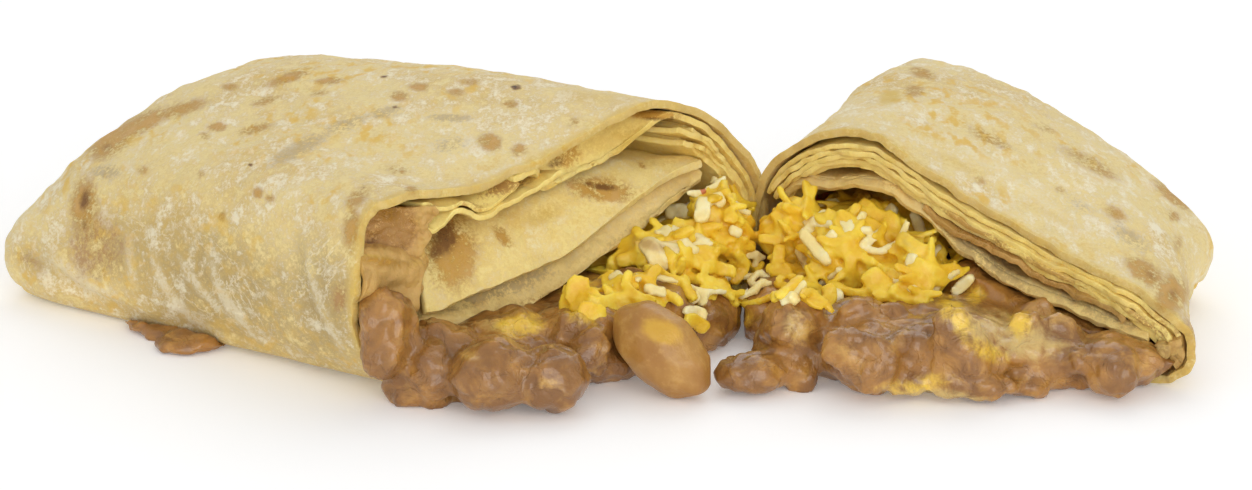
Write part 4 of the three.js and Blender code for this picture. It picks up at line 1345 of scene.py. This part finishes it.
RIGHT_LINING_EDGE = [[5.2, 16.2], [8, 18.1], [13.6, 18.8], [19, 20.2], [24.5, 20.4], [27.2, 18.8],
                     [30.8, 17.6], [37.1, 13.7], [46, 9.9], [54.6, 8.6], [63, 7.1], [69.5, 6.2]]
RIGHT_MARKS_TURN = (
    # The dark spot at (999, 242) is painted shade in a hole through the turn.
    Mark(S, (975, 232), (42, 22), 32, 1.0), Mark(C, (999, 242), (5, 5), 0, 0.6),
    Mark(S, (1050, 280), (60, 14), 28, 0.8), Mark(S, (1150, 330), (30, 26), 30, 1.0),
)
CORNER_MARKS = (Mark(S, (1160, 335), (44, 36), 30, 0.5),)
RIGHT_LINING_MARKS = (
    Mark(G, (985, 262), (60, 16), 35, 0.9), Mark(S, (900, 186), (40, 8), 10, 0.4),
    Mark(G, (1100, 312), (60, 10), 22, 0.7),
)


def right_turn(edge: float, insets: Sequence[float], start: float, end: float,
               depth: float) -> list[Points]:
    """Return the rows of a right turn, from its wandering edge at the cut to its end.

    Args:
        edge: Millimetres into the half where it starts, below 0 ahead of the cut.
        insets: Millimetres in from the roll's outside, at even steps along the edge.
        start: Share of the way round where it starts.
        end: Share of the way round where it ends.
        depth: Millimetres into the half where it ends.
    """
    even = float(np.mean(insets))
    return RIGHT.arcs((start, end), (edge, *insets), (4, even), (12, even), (depth, even))


def right_sheets() -> list[Sheet]:
    """Return the turns and the lining that show at the right cut."""
    return [
        Sheet("right_second_turn", RIGHT,
              right_turn(0.2, (2.2, 2.0, 2.4, 2.1, 2.4, 2.2, 2.4, 2.1), 0.30, 0.925, 36), TURN,
              ("second_turn_right",), 71, thickness=0.8, wave=0.2, ragged=0.7, columns=190,
              marks=CORNER_MARKS),
        Sheet("right_second_ply", RIGHT,
              right_turn(-0.3, (3.1, 3.3, 3.0, 3.4, 3.1, 3.3, 3.0), 0.31, 0.92, 30), TURN, (), 78,
              thickness=0.85, wave=0.2, ragged=1.0, columns=170, marks=CORNER_MARKS),
        Sheet("right_third_ply", RIGHT,
              right_turn(0.3, (4.8, 4.6, 5.0, 4.7, 4.9, 4.7), 0.32, 0.90, 30), TURN, (), 79,
              thickness=0.85, wave=0.2, ragged=1.1, columns=170, marks=CORNER_MARKS),
        Sheet("right_packed_turns", RIGHT,
              right_turn(1.1, (4.0,), 0.29, 0.925, 30), TURN, (), 80, thickness=3.8, wave=0.1,
              ragged=0.4, columns=150),
        Sheet("right_third_turn", RIGHT,
              right_turn(-0.2, (4.0, 3.8, 4.2, 3.8, 4.2, 3.9, 4.1, 3.9), 0.30, 0.925, 36), TURN,
              ("third_turn_right",), 72, thickness=0.8, wave=0.2, ragged=0.9, columns=190,
              marks=RIGHT_MARKS_TURN),
        Sheet("right_fourth_turn", RIGHT,
              right_turn(-0.4, (5.6, 6.0, 5.4, 6.2, 5.6), 0.45, 0.69, 26), STAINED,
              ("fourth_turn_right",), 73, thickness=0.9, wave=0.35, ragged=1.0, ruffle=0.25,
              marks=RIGHT_MARKS_TURN, columns=130),
        Sheet("right_corner_turn", RIGHT,
              right_turn(-0.7, (2.3, 2.6, 2.3, 2.8, 2.5), 0.23, 0.37, 20), STAINED, (), 75,
              thickness=2.0, wave=0.7, ragged=1.2, columns=90),
        Sheet("right_corner_fold", RIGHT,
              right_turn(-1.0, (4.6, 4.2, 4.6, 4.2), 0.24, 0.38, 18), STAINED, (), 76,
              thickness=2.4, wave=0.8, ragged=1.4, columns=90),
        Sheet("right_lining", RIGHT,
              RIGHT.levels((RIGHT_LINING_EDGE, -0.2), (RIGHT_LINING_EDGE, 1.2, 0.9),
                           (RIGHT_LINING_EDGE, 5, 1.2), (RIGHT_LINING_EDGE, 34, 1.2)),
              LINING, ("lining_right",), 74, thickness=0.9, wave=0.3, wrinkle=0.25, ragged=0.6,
              columns=170, marks=RIGHT_LINING_MARKS),
    ]


# ---- Beans -------------------------------------------------------------------------------
@dataclass(frozen=True)
class Blob:
    """A soft lump on what carries it, named by where it shows in the frame.

    Attributes:
        at: Its centre in the frame.
        size: Half-axes in millimetres: across the view, up it, and towards the camera.
        turn: Degrees that it is turned in the frame, clockwise.
        sink: Share of its thickness that lies under the surface.
    """

    at: Place
    size: tuple[float, float, float]
    turn: float = 0.0
    sink: float = 0.45

    def build(self, caster: Caster) -> bpy.types.Object | None:
        """Make the lump where the view's ray meets what carries it."""
        found = caster.hit(self.at)
        if found is None:
            return None
        centre = found[0] + VIEW.axes[2] * self.size[2] * (2 * self.sink - 1)
        ball = new_ball("blob")
        local = points_of(ball)
        local += normals_of(ball) * (ripple(local, 0.8, int(self.at[0]), 3) * 0.3)[:, None]
        angle = math.radians(self.turn)
        right = VIEW.axes[0] * math.cos(angle) - VIEW.axes[1] * math.sin(angle)
        up = VIEW.axes[0] * math.sin(angle) + VIEW.axes[1] * math.cos(angle)
        basis = np.stack([right, up, VIEW.axes[2]]) * np.array(self.size)[:, None]
        put(ball, centre + local @ basis)
        return ball


LEFT_BLOBS = (
    Blob((380, 318), (3.6, 4.6, 3.2), 8), Blob((384, 350), (3.3, 4.6, 3.2), 4),
    Blob((376, 385), (2.4, 3.2, 2.6), -14), Blob((398, 330), (1.4, 5.0, 1.6), 6),
    Blob((480, 378), (4.8, 5.2, 3.4), 10), Blob((500, 362), (5.2, 3.6, 3.2), 12),
    Blob((545, 388), (4.8, 4.6, 3.4), 30), Blob((520, 400), (4.4, 2.6, 2.6), 0),
    Blob((462, 398), (2.6, 2.8, 2.4), 0), Blob((430, 372), (4.0, 4.4, 2.6), 0),
    Blob((420, 395), (5.0, 2.6, 2.6), 0), Blob((590, 350), (3.2, 3.4, 2.4), 30),
    Blob((575, 325), (2.6, 2.4, 2.0), 0), Blob((605, 385), (2.8, 2.2, 2.2), -20),
    Blob((596, 368), (1.8, 1.6, 1.4), 0), Blob((560, 340), (1.6, 1.4, 1.2), 0),
)
RIGHT_BLOBS = (
    Blob((752, 382), (4.2, 3.2, 2.6), -30), Blob((778, 388), (4.2, 2.4, 2.4), -5),
    Blob((800, 380), (2.6, 2.6, 2.2), 0), Blob((745, 396), (3.4, 1.5, 2.0), 0),
    Blob((803, 332), (3.2, 3.8, 2.8), -20), Blob((800, 352), (3.0, 2.2, 2.2), 0),
    Blob((856, 350), (5.2, 3.4, 2.8), 10), Blob((872, 372), (4.6, 3.2, 2.6), 10),
    Blob((838, 388), (4.0, 2.4, 2.2), 10), Blob((905, 345), (3.0, 2.4, 1.8), 0),
    Blob((895, 315), (2.6, 2.2, 1.8), 20), Blob((905, 298), (2.4, 1.8, 1.6), -20),
    Blob((860, 312), (3.0, 1.6, 1.6), 0), Blob((775, 315), (2.2, 1.6, 1.4), 0),
    Blob((1012, 352), (2.4, 1.8, 1.4), 10), Blob((1022, 326), (2.6, 2.6, 1.4), 20),
    Blob((1063, 325), (2.2, 1.8, 1.4), 10), Blob((1042, 306), (2.4, 1.4, 1.2), 15),
    Blob((1030, 385), (3.6, 2.2, 2.0), 10), Blob((1075, 360), (2.0, 2.4, 1.6), 0),
    Blob((970, 385), (7.0, 2.4, 2.4), 4), Blob((960, 345), (4.6, 6.0, 2.0), -18),
    Blob((915, 382), (4.2, 2.4, 2.2), -20), Blob((1145, 362), (2.6, 2.0, 1.6), 0),
)
MASH_MARKS = (
    # The char marks are painted shade in crevices and under the lumps.
    Mark(C, (415, 350), (18, 16), 0, 0.8), Mark(C, (620, 330), (20, 40), 0, 0.5),
    Mark(C, (575, 370), (14, 30), 0, 0.8), Mark(C, (725, 345), (14, 14), 0, 0.8),
    Mark(C, (380, 350), (20, 60), 0, 0.7), Mark(C, (510, 385), (60, 24), 0, 0.6),
    Mark(C, (450, 350), (60, 22), 10, 0.8), Mark(S, (548, 384), (14, 9), 0, 0.7),
    Mark(S, (470, 355), (14, 8), 0, 0.7), Mark(S, (800, 330), (16, 22), 0, 0.9),
    Mark(S, (850, 350), (24, 18), 0, 0.5), Mark(S, (775, 385), (24, 10), 0, 0.5),
    Mark(Y, (915, 385), (44, 12), -8, 0.7), Mark(Y, (955, 315), (14, 34), -30, 0.9),
    Mark(Y, (1020, 325), (14, 16), 10, 1.0), Mark(Y, (975, 295), (14, 12), 0, 0.8),
    Mark(Y, (985, 350), (30, 12), 25, 0.8), Mark(Y, (520, 325), (26, 16), 0, 1.0),
    Mark(Y, (585, 300), (26, 26), 0, 1.0), Mark(Y, (745, 318), (14, 14), 0, 0.6),
    Mark(C, (1010, 352), (14, 10), 0, 0.7), Mark(C, (905, 300), (24, 16), 0, 0.7),
    Mark(S, (1050, 315), (34, 14), 15, 0.7), Mark(S, (1140, 365), (40, 24), 0, 0.5),
    Mark(F, (1010, 335), (80, 26), 14, 0.9), Mark(F, (930, 395), (60, 10), 5, 0.9),
    Mark(F, (795, 325), (18, 26), 0, 0.6), Mark(F, (500, 325), (34, 10), 0, 0.7),
)
WHOLE_BEAN_MARKS = (Mark(Y, (662, 332), (24, 14), 20, 1.1), Mark(S, (690, 385), (18, 18), 0, 0.5))
CRESTS = ((6.0, 1.2, 0.35), (2.6, 0.75, 0.22))  # Wavelength, height and base in mm.


@dataclass
class Mash:
    """Mashed beans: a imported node's filling with lumps over it, as one wet mass."""

    name: str
    nodes: tuple[str, ...]
    blobs: Sequence[Blob]
    seed: int
    voxel: float = 0.55
    swell: float = 0.25
    drawn: float = 2.4
    grit: float = 0.09
    grit_length: float = 1.3

    def build(self) -> bpy.types.Object:
        """Make the mass, with the beans it coats grown into it, and dress it."""
        cores = [node_copy(node, node + "_core") for node in self.nodes]
        for core in cores[1:]:
            put(core, points_of(core) + normals_of(core) * self.swell)
        caster = Caster(cores[:1])
        lumps = [lump for blob in self.blobs if (lump := blob.build(caster))]
        piece = joined([*cores, *lumps], self.name)
        fuse(piece, self.voxel, 12)
        self.churn(piece)
        keep_above_floor(piece)
        paint(piece, MASH_MARKS, deep=hollow_shade_mask(piece, 0.7))
        piece.data.materials.append(MashFinish().material())
        finish_piece(piece, "bean_mash", *self.nodes, angle=90)
        return piece

    def churn(self, piece: bpy.types.Object) -> None:
        """Work the surface into folded paste: rounded crests with sharp valleys between."""
        points, normals = points_of(piece), normals_of(piece)
        pull = np.column_stack([ripple(points, 7, self.seed + k) for k in range(3)])
        drawn = points + pull * self.drawn
        lift = np.zeros(len(points))
        for k, (wavelength, height, base) in enumerate(CRESTS):
            lift += np.abs(ripple(drawn, wavelength, self.seed + 4 + k, 1)) * height - base
        lift += ripple(points, self.grit_length, self.seed + 6) * self.grit
        put(piece, points + normals * lift[:, None])


@dataclass
class WholeBean:
    """A cooked bean with a dented, kidney-shaped body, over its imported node."""

    name: str
    node: str
    seed: int
    marks: Sequence[Mark] = ()

    def build(self) -> None:
        """Make the bean and dress it."""
        piece = node_copy(self.node, self.name)
        fuse(piece, 0.5, 14)
        roughen(piece, 6, 0.45, self.seed, 1)
        roughen(piece, 2.0, 0.1, self.seed + 1, 3)
        apply(piece, "SUBSURF", levels=1, render_levels=1)
        keep_above_floor(piece)
        paint(piece, self.marks)
        piece.data.materials.append(BeanFinish().material())
        finish_piece(piece, "whole_bean", self.node, angle=90)


# ---- Cheese ------------------------------------------------------------------------------
@dataclass(frozen=True)
class Shred:
    """A shred of cheese laid on the heap along a line in the frame."""

    cheese: Cheese
    path: Line
    width: float
    thickness: float
    lift: float = 0.6


W_, Y_ = Cheese.WHITE, Cheese.YELLOW
SHREDS = (
    Shred(W_, [[771, 211], [782, 232], [792, 252]], 2.3, 1.8, 2.6),
    Shred(W_, [[826, 212], [800, 237]], 2.0, 1.6, 0.8),
    Shred(W_, [[799, 232], [828, 264]], 2.1, 1.8, 1.4),
    Shred(W_, [[796, 248], [805, 262], [812, 275]], 1.8, 1.5, 1.6),
    Shred(W_, [[826, 240], [836, 233]], 2.0, 1.8, 1.4),
    Shred(W_, [[845, 220], [849, 234]], 2.4, 1.8, 0.4),
    Shred(W_, [[859, 248], [884, 229]], 1.7, 1.6, 0.8),
    Shred(W_, [[910, 212], [917, 224], [921, 236]], 2.0, 1.7, 1.4),
    Shred(W_, [[886, 208], [894, 214]], 2.2, 1.8, 1.2),
    Shred(W_, [[922, 208], [927, 217]], 2.2, 1.8, 1.4),
    Shred(W_, [[906, 260], [916, 262]], 2.4, 2.0, 1.2),
    Shred(W_, [[951, 294], [962, 285], [973, 275]], 2.0, 1.6, 0.8),
    Shred(W_, [[832, 290], [838, 300]], 2.2, 2.0, 0.6),
    Shred(W_, [[790, 302], [796, 296]], 2.2, 1.8, 0.8),
    Shred(Y_, [[793, 181], [794, 198], [798, 211], [816, 211], [842, 199]], 1.9, 1.6, 1.2),
    Shred(Y_, [[856, 203], [877, 216], [906, 225]], 2.6, 2.2, 0.8),
    Shred(Y_, [[884, 216], [896, 228]], 3.4, 2.6, 1.0),
    Shred(Y_, [[868, 204], [878, 214]], 3.0, 2.4, 1.0),
    Shred(Y_, [[862, 272], [874, 284], [884, 300]], 4.2, 2.4, 1.4),
    Shred(Y_, [[848, 252], [850, 270], [848, 290]], 2.2, 2.0, 1.2),
    Shred(Y_, [[836, 248], [846, 250], [858, 246]], 3.2, 2.0, 0.8),
    Shred(Y_, [[895, 237], [912, 246], [928, 258]], 2.8, 2.2, 1.4),
    Shred(Y_, [[908, 262], [926, 270], [946, 282]], 3.0, 2.2, 1.2),
    Shred(Y_, [[780, 245], [776, 262], [790, 276]], 2.4, 2.0, 0.4),
    Shred(Y_, [[820, 284], [826, 296], [822, 306]], 2.6, 2.2, 0.6),
    Shred(Y_, [[770, 292], [776, 300]], 2.0, 1.8, 0.6),
    Shred(W_, [[665, 213], [677, 211], [691, 213]], 2.6, 2.2, 1.6),
    Shred(W_, [[704, 198], [702, 210], [701, 223]], 2.8, 2.2, 2.0),
    Shred(W_, [[715, 194], [722, 206]], 2.0, 1.8, 1.8),
    Shred(Y_, [[674, 203], [686, 197], [698, 200]], 2.4, 2.0, 1.4),
    Shred(Y_, [[700, 180], [711, 188], [722, 198]], 3.4, 2.4, 1.2),
    Shred(Y_, [[728, 190], [738, 197], [748, 206]], 3.0, 2.2, 1.2),
    Shred(Y_, [[743, 214], [750, 227]], 2.4, 2.2, 1.4),
    Shred(Y_, [[728, 222], [736, 214]], 2.2, 2.0, 1.0),
    Shred(W_, [[728, 228], [741, 235]], 1.8, 1.5, 1.4),
    Shred(Y_, [[680, 222], [700, 229], [722, 233], [757, 250]], 2.6, 2.2, 2.0),
    Shred(Y_, [[716, 240], [736, 245], [757, 251]], 2.8, 2.2, 2.4),
    Shred(W_, [[710, 262], [728, 256], [758, 247], [790, 250]], 2.6, 2.2, 1.6),
    Shred(W_, [[735, 256], [760, 250], [788, 253]], 2.6, 2.0, 1.4),
    Shred(Y_, [[735, 251], [741, 266], [732, 284]], 2.0, 1.8, 2.0),
    Shred(Y_, [[676, 263], [698, 271], [720, 274], [736, 283]], 2.6, 2.2, 1.4),
    Shred(Y_, [[700, 266], [716, 268], [732, 272]], 2.4, 2.0, 1.6),
    Shred(Y_, [[655, 272], [670, 281], [686, 284]], 2.4, 2.0, 0.8),
    Shred(W_, [[644, 241], [654, 254], [663, 271]], 3.2, 2.6, 2.2),
    Shred(Y_, [[662, 250], [674, 262]], 2.4, 2.0, 1.4),
    Shred(W_, [[660, 246], [680, 249], [699, 251]], 1.8, 1.6, 0.2),
    Shred(Y_, [[610, 268], [624, 256], [642, 250]], 3.0, 2.4, 1.2),
    Shred(Y_, [[616, 262], [634, 258], [648, 262]], 2.6, 2.2, 1.4),
    Shred(Y_, [[630, 270], [626, 285], [638, 297], [655, 300]], 1.7, 1.5, 1.6),
    Shred(W_, [[614, 274], [622, 290]], 2.6, 2.0, 0.2),
    Shred(W_, [[644, 288], [656, 291], [666, 291]], 1.8, 1.7, 1.6),
    Shred(W_, [[676, 279], [698, 290], [726, 292]], 1.1, 1.0, 2.0),
    Shred(W_, [[690, 294], [696, 303]], 2.8, 0.9, 1.4),
    Shred(W_, [[684, 310], [696, 312], [707, 316]], 2.0, 1.6, 1.6),
    Shred(Y_, [[684, 318], [696, 322], [706, 330]], 2.6, 1.8, 1.2),
    Shred(Y_, [[583, 275], [577, 296], [592, 308], [616, 306], [632, 300]], 4.4, 1.3, 0.1),
    Shred(Y_, [[562, 296], [580, 302], [600, 306]], 6.0, 1.2, -0.1),
    Shred(Y_, [[576, 312], [594, 318], [608, 316]], 5.0, 1.1, -0.1),
    Shred(Y_, [[590, 268], [598, 262], [608, 262]], 2.4, 2.0, 1.0),
)


CHEESE_MARKS = (
    Mark(C, (703, 190), (3, 7), -20, 1.2), Mark(S, (650, 245), (30, 8), 15, 0.9),
    # The two stains on the right heap also paint shade there.
    Mark(S, (860, 190), (60, 12), 10, 0.8), Mark(S, (912, 240), (34, 26), 30, 0.55),
    Mark(S, (800, 262), (40, 12), 0, 0.5),
)
CORE_VOXEL = 1.1
CRUMB_LENGTHS = (1.2, 2.8)
SHRED_LENGTHS = (4, 9)
SHRED_WIDTHS = (1.0, 1.8)
TURN_SPREAD = 0.8
BEND_SPREAD = 0.9
TILT_SPREAD = 0.10
SINKS = (-1.0, 0.5)


@dataclass
class CheeseHeap:
    """Shredded cheese: a shrunken core with shreds of both cheeses laid over and into it."""

    nodes: tuple[str, ...]
    carriers: Sequence[bpy.types.Object]
    seed: int
    fields: tuple[tuple[float, float, float, float], ...]
    loose: int = 210
    white_share: float = 0.12
    crumb_share: float = 0.25
    laid_width: float = 0.86
    white_lift: float = 0.35
    dip: float = 2.5
    voxel: float = 0.32
    shrink: float = 3.1
    most_triangles: int = 190_000
    steps: int = 9
    corners: int = 8
    flatness: float = 0.75
    loose_flatness: float = 0.7

    def build(self) -> None:
        """Make the cores and the shreds, and fuse each cheese into a piece of its own."""
        cores = [self.core(node) for node in self.nodes]
        caster = Caster([*cores, *self.carriers])
        bars = {cheese: [] for cheese in Cheese}
        for shred in SHREDS:
            if (bar := self.laid(shred, caster)) is not None:
                bars[shred.cheese].append(bar)
        for cheese, bar in self.scattered(caster):
            bars[cheese].append(bar)
        yellow = joined([*cores, *bars[Cheese.YELLOW]], Cheese.YELLOW.value)
        white = joined(bars[Cheese.WHITE], Cheese.WHITE.value)
        made = ((yellow, YELLOW_CHEESE, self.nodes), (white, WHITE_CHEESE, ()))
        for piece, finish, nodes in made:
            fuse(piece, self.voxel, 1)
            roughen(piece, 1.3, 0.16, self.seed, 2)
            share = self.most_triangles / (2 * len(piece.data.polygons))
            apply(piece, "DECIMATE", ratio=min(share, 1.0))
            keep_above_floor(piece)
            paint(piece, CHEESE_MARKS, deep=hollow_shade_mask(piece, 0.5, 10))
            piece.data.materials.clear()
            piece.data.materials.append(finish.material())
            finish_piece(piece, finish.name, *nodes, angle=50)

    def core(self, node: str) -> bpy.types.Object:
        """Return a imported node's mesh, pulled in wherever it doesn't face down."""
        piece = node_copy(node, node + "_core")
        fuse(piece, CORE_VOXEL)
        pulled = self.shrink * smooth(normals_of(piece)[:, 2], -0.4, 0.3)
        put(piece, points_of(piece) - normals_of(piece) * pulled[:, None])
        roughen(piece, 5, 1.3, self.seed + 3, 2)
        return piece

    def laid(self, shred: Shred, caster: Caster) -> bpy.types.Object | None:
        """Return a shred on what lies under its line, or None where that misses."""
        found = [caster.hit(tuple(place)) for place in shred.path]
        if any(hit is None for hit in found):
            return None
        path = np.array([hit[0] for hit in found])
        depth = (path - VIEW.eye) @ VIEW.axes[2]
        near = np.minimum(depth, depth.min() + self.dip)
        lift = shred.lift + (self.white_lift if shred.cheese is Cheese.WHITE else 0.0)
        path -= VIEW.axes[2] * (depth - near + lift)[:, None]
        return self.bar(path, -VIEW.axes[2], shred.width * self.laid_width,
                        shred.thickness * self.flatness, int(path[0][0] * 10))

    def scattered(self, caster: Caster) -> list[tuple[Cheese, bpy.types.Object]]:
        """Return loose shreds at random places and turns in the heap's fields."""
        chance = np.random.default_rng(self.seed)
        made = []
        for left, top, right, bottom in self.fields:
            for _ in range(self.loose):
                place = (chance.uniform(left, right), chance.uniform(top, bottom))
                crumb = chance.random() < self.crumb_share
                length = chance.uniform(*(CRUMB_LENGTHS if crumb else SHRED_LENGTHS))
                turn, bend = chance.normal(0, TURN_SPREAD), chance.normal(0, BEND_SPREAD)
                tilt, sink = chance.normal(0, TILT_SPREAD), chance.uniform(*SINKS)
                white = chance.random() < self.white_share
                size = chance.uniform(*SHRED_WIDTHS)
                found = caster.hit(place)
                if found is None:
                    continue
                out = found[1] * -math.copysign(1.0, found[1] @ VIEW.axes[2])
                level_way = np.cross(out, VIEW.axes[1] + VIEW.axes[0] * 0.01)
                level_way /= np.linalg.norm(level_way)
                way = level_way * math.cos(turn) + np.cross(out, level_way) * math.sin(turn)
                way = way + out * tilt
                side = np.cross(way, out)
                shares = np.linspace(-0.5, 0.5, 5)[:, None]
                path = found[0] - out * sink + way * shares * length
                path = path + side * (shares ** 2) * bend * length
                cheese = Cheese.WHITE if white else Cheese.YELLOW
                thickness = size * self.loose_flatness
                made.append((cheese, self.bar(path, out, size, thickness, int(place[0]))))
        return made

    def bar(self, path: Points, out: Points, width: float, thickness: float,
            seed: int) -> bpy.types.Object:
        """Return a bar of cheese along a path, with worn corners and torn ends.

        Args:
            path: Its middle line.
            out: Which way its flat side faces.
            width: Millimetres across the flat side.
            thickness: Millimetres through it.
            seed: Which wear to take.
        """
        deselect()
        bpy.ops.mesh.primitive_cylinder_add(vertices=self.corners, radius=0.5, depth=1)
        piece = bpy.context.object
        edit(piece)
        for k in range(1, self.steps):
            bpy.ops.mesh.bisect(plane_co=(0, 0, k / self.steps - 0.5), plane_no=(0, 0, 1))
            bpy.ops.mesh.select_all(action="SELECT")
        close_edit()
        local = points_of(piece) * MM
        share = local[:, 2] + 0.5
        centre = spline(path, share)
        nudge = 0.02
        after, before = np.minimum(share + nudge, 1), np.maximum(share - nudge, 0)
        ahead = spline(path, after) - spline(path, before)
        ahead /= np.linalg.norm(ahead, axis=1)[:, None]
        side = np.cross(ahead, out)
        side /= np.linalg.norm(side, axis=1)[:, None]
        face = np.cross(side, ahead)
        angle = np.arctan2(local[:, 1], local[:, 0])
        square = 1 / np.maximum(np.abs(np.cos(angle)), np.abs(np.sin(angle))) ** 0.85
        ends = 1 - 0.35 * np.abs(2 * share - 1) ** 6
        across = local[:, 0] * width * square * ends
        deep = local[:, 1] * thickness * square * ends
        put(piece, centre + side * across[:, None] + face * deep[:, None])
        roughen(piece, 1.5, 0.22, seed, 2)
        return piece


# ---- The room ----------------------------------------------------------------------------
@dataclass(frozen=True)
class Lamp:
    """A square soft light that looks at the food. Its place and size are in metres."""

    name: str
    place: tuple[float, float, float]
    size: float
    power: float

    def hang(self) -> None:
        """Add the light."""
        deselect()
        way = Vector((0, 0, 0.015)) - Vector(self.place)
        bpy.ops.object.light_add(type="AREA", location=self.place,
                                 rotation=way.to_track_quat("-Z", "Y").to_euler())
        lamp = bpy.context.object
        lamp.name = self.name
        lamp.data.size = self.size
        lamp.data.energy = self.power


LAMPS = (Lamp("key", (0.22, -0.88, 0.36), 0.7, 3.9), Lamp("fill", (-0.60, -0.45, 0.50), 0.6, 0.35),
         Lamp("back", (0.05, 0.65, 0.70), 0.8, 2.1))


@dataclass(frozen=True)
class Studio:
    """A pale floor and plain soft light."""

    floor_size: float = 4.0
    floor_glow: float = 0.12
    sky: float = 0.66

    def build(self) -> None:
        """Add the floor, the lights and the world."""
        deselect()
        bpy.ops.mesh.primitive_plane_add(size=self.floor_size)
        floor = bpy.context.object
        floor.name = "floor"
        board = Board("floor_white")
        sheen = board.grain(40, 2)
        floor.data.materials.append(board.finish(
            board.blend(sheen, tone(250, 250, 250), tone(253, 253, 253)), 0.9, sheen, 0.01,
            {"Emission Color": (1, 1, 1, 1), "Emission Strength": self.floor_glow}))
        for lamp in LAMPS:
            lamp.hang()
        world = bpy.data.worlds.new("sky")
        bpy.context.scene.world = world
        world.use_nodes = True
        sky = world.node_tree.nodes["Background"].inputs
        sky["Color"].default_value = (1, 1, 1, 1)
        sky["Strength"].default_value = self.sky
        bpy.context.scene.view_settings.view_transform = "Standard"


def main() -> None:
    """Build the burrito in order and report each piece."""
    logging.basicConfig(level=logging.INFO, format="%(name)s %(message)s")
    VIEW.stand_camera()
    Studio().build()
    Wrap("wrap_left", LEFT, LEFT_MARKS, LEFT_CREASES, 101).build()
    Wrap("wrap_right", RIGHT, RIGHT_MARKS, RIGHT_CREASES, 131, around=240, along=84).build()
    for sheet in left_sheets() + right_sheets():
        sheet.build()
    mash = [Mash("mash_left", ("beans_left", "bean_pair_left", "bean_pair_right"),
                 LEFT_BLOBS, 201).build(),
            Mash("mash_right", ("beans_right", "bean_right_front", "bean_right_middle",
                                "bean_right_corner"), RIGHT_BLOBS, 211).build(),
            Mash("mash_smear", ("bean_smear",), (), 221, voxel=0.4).build()]
    WholeBean("whole_bean", "bean_whole", 301, WHOLE_BEAN_MARKS).build()
    CheeseHeap(("cheese_left", "cheese_right"), mash[:2], 401,
               ((605, 185, 760, 305), (775, 190, 940, 300))).build()
    bpy.context.view_layer.update()


if __name__ == "__main__":
    main()
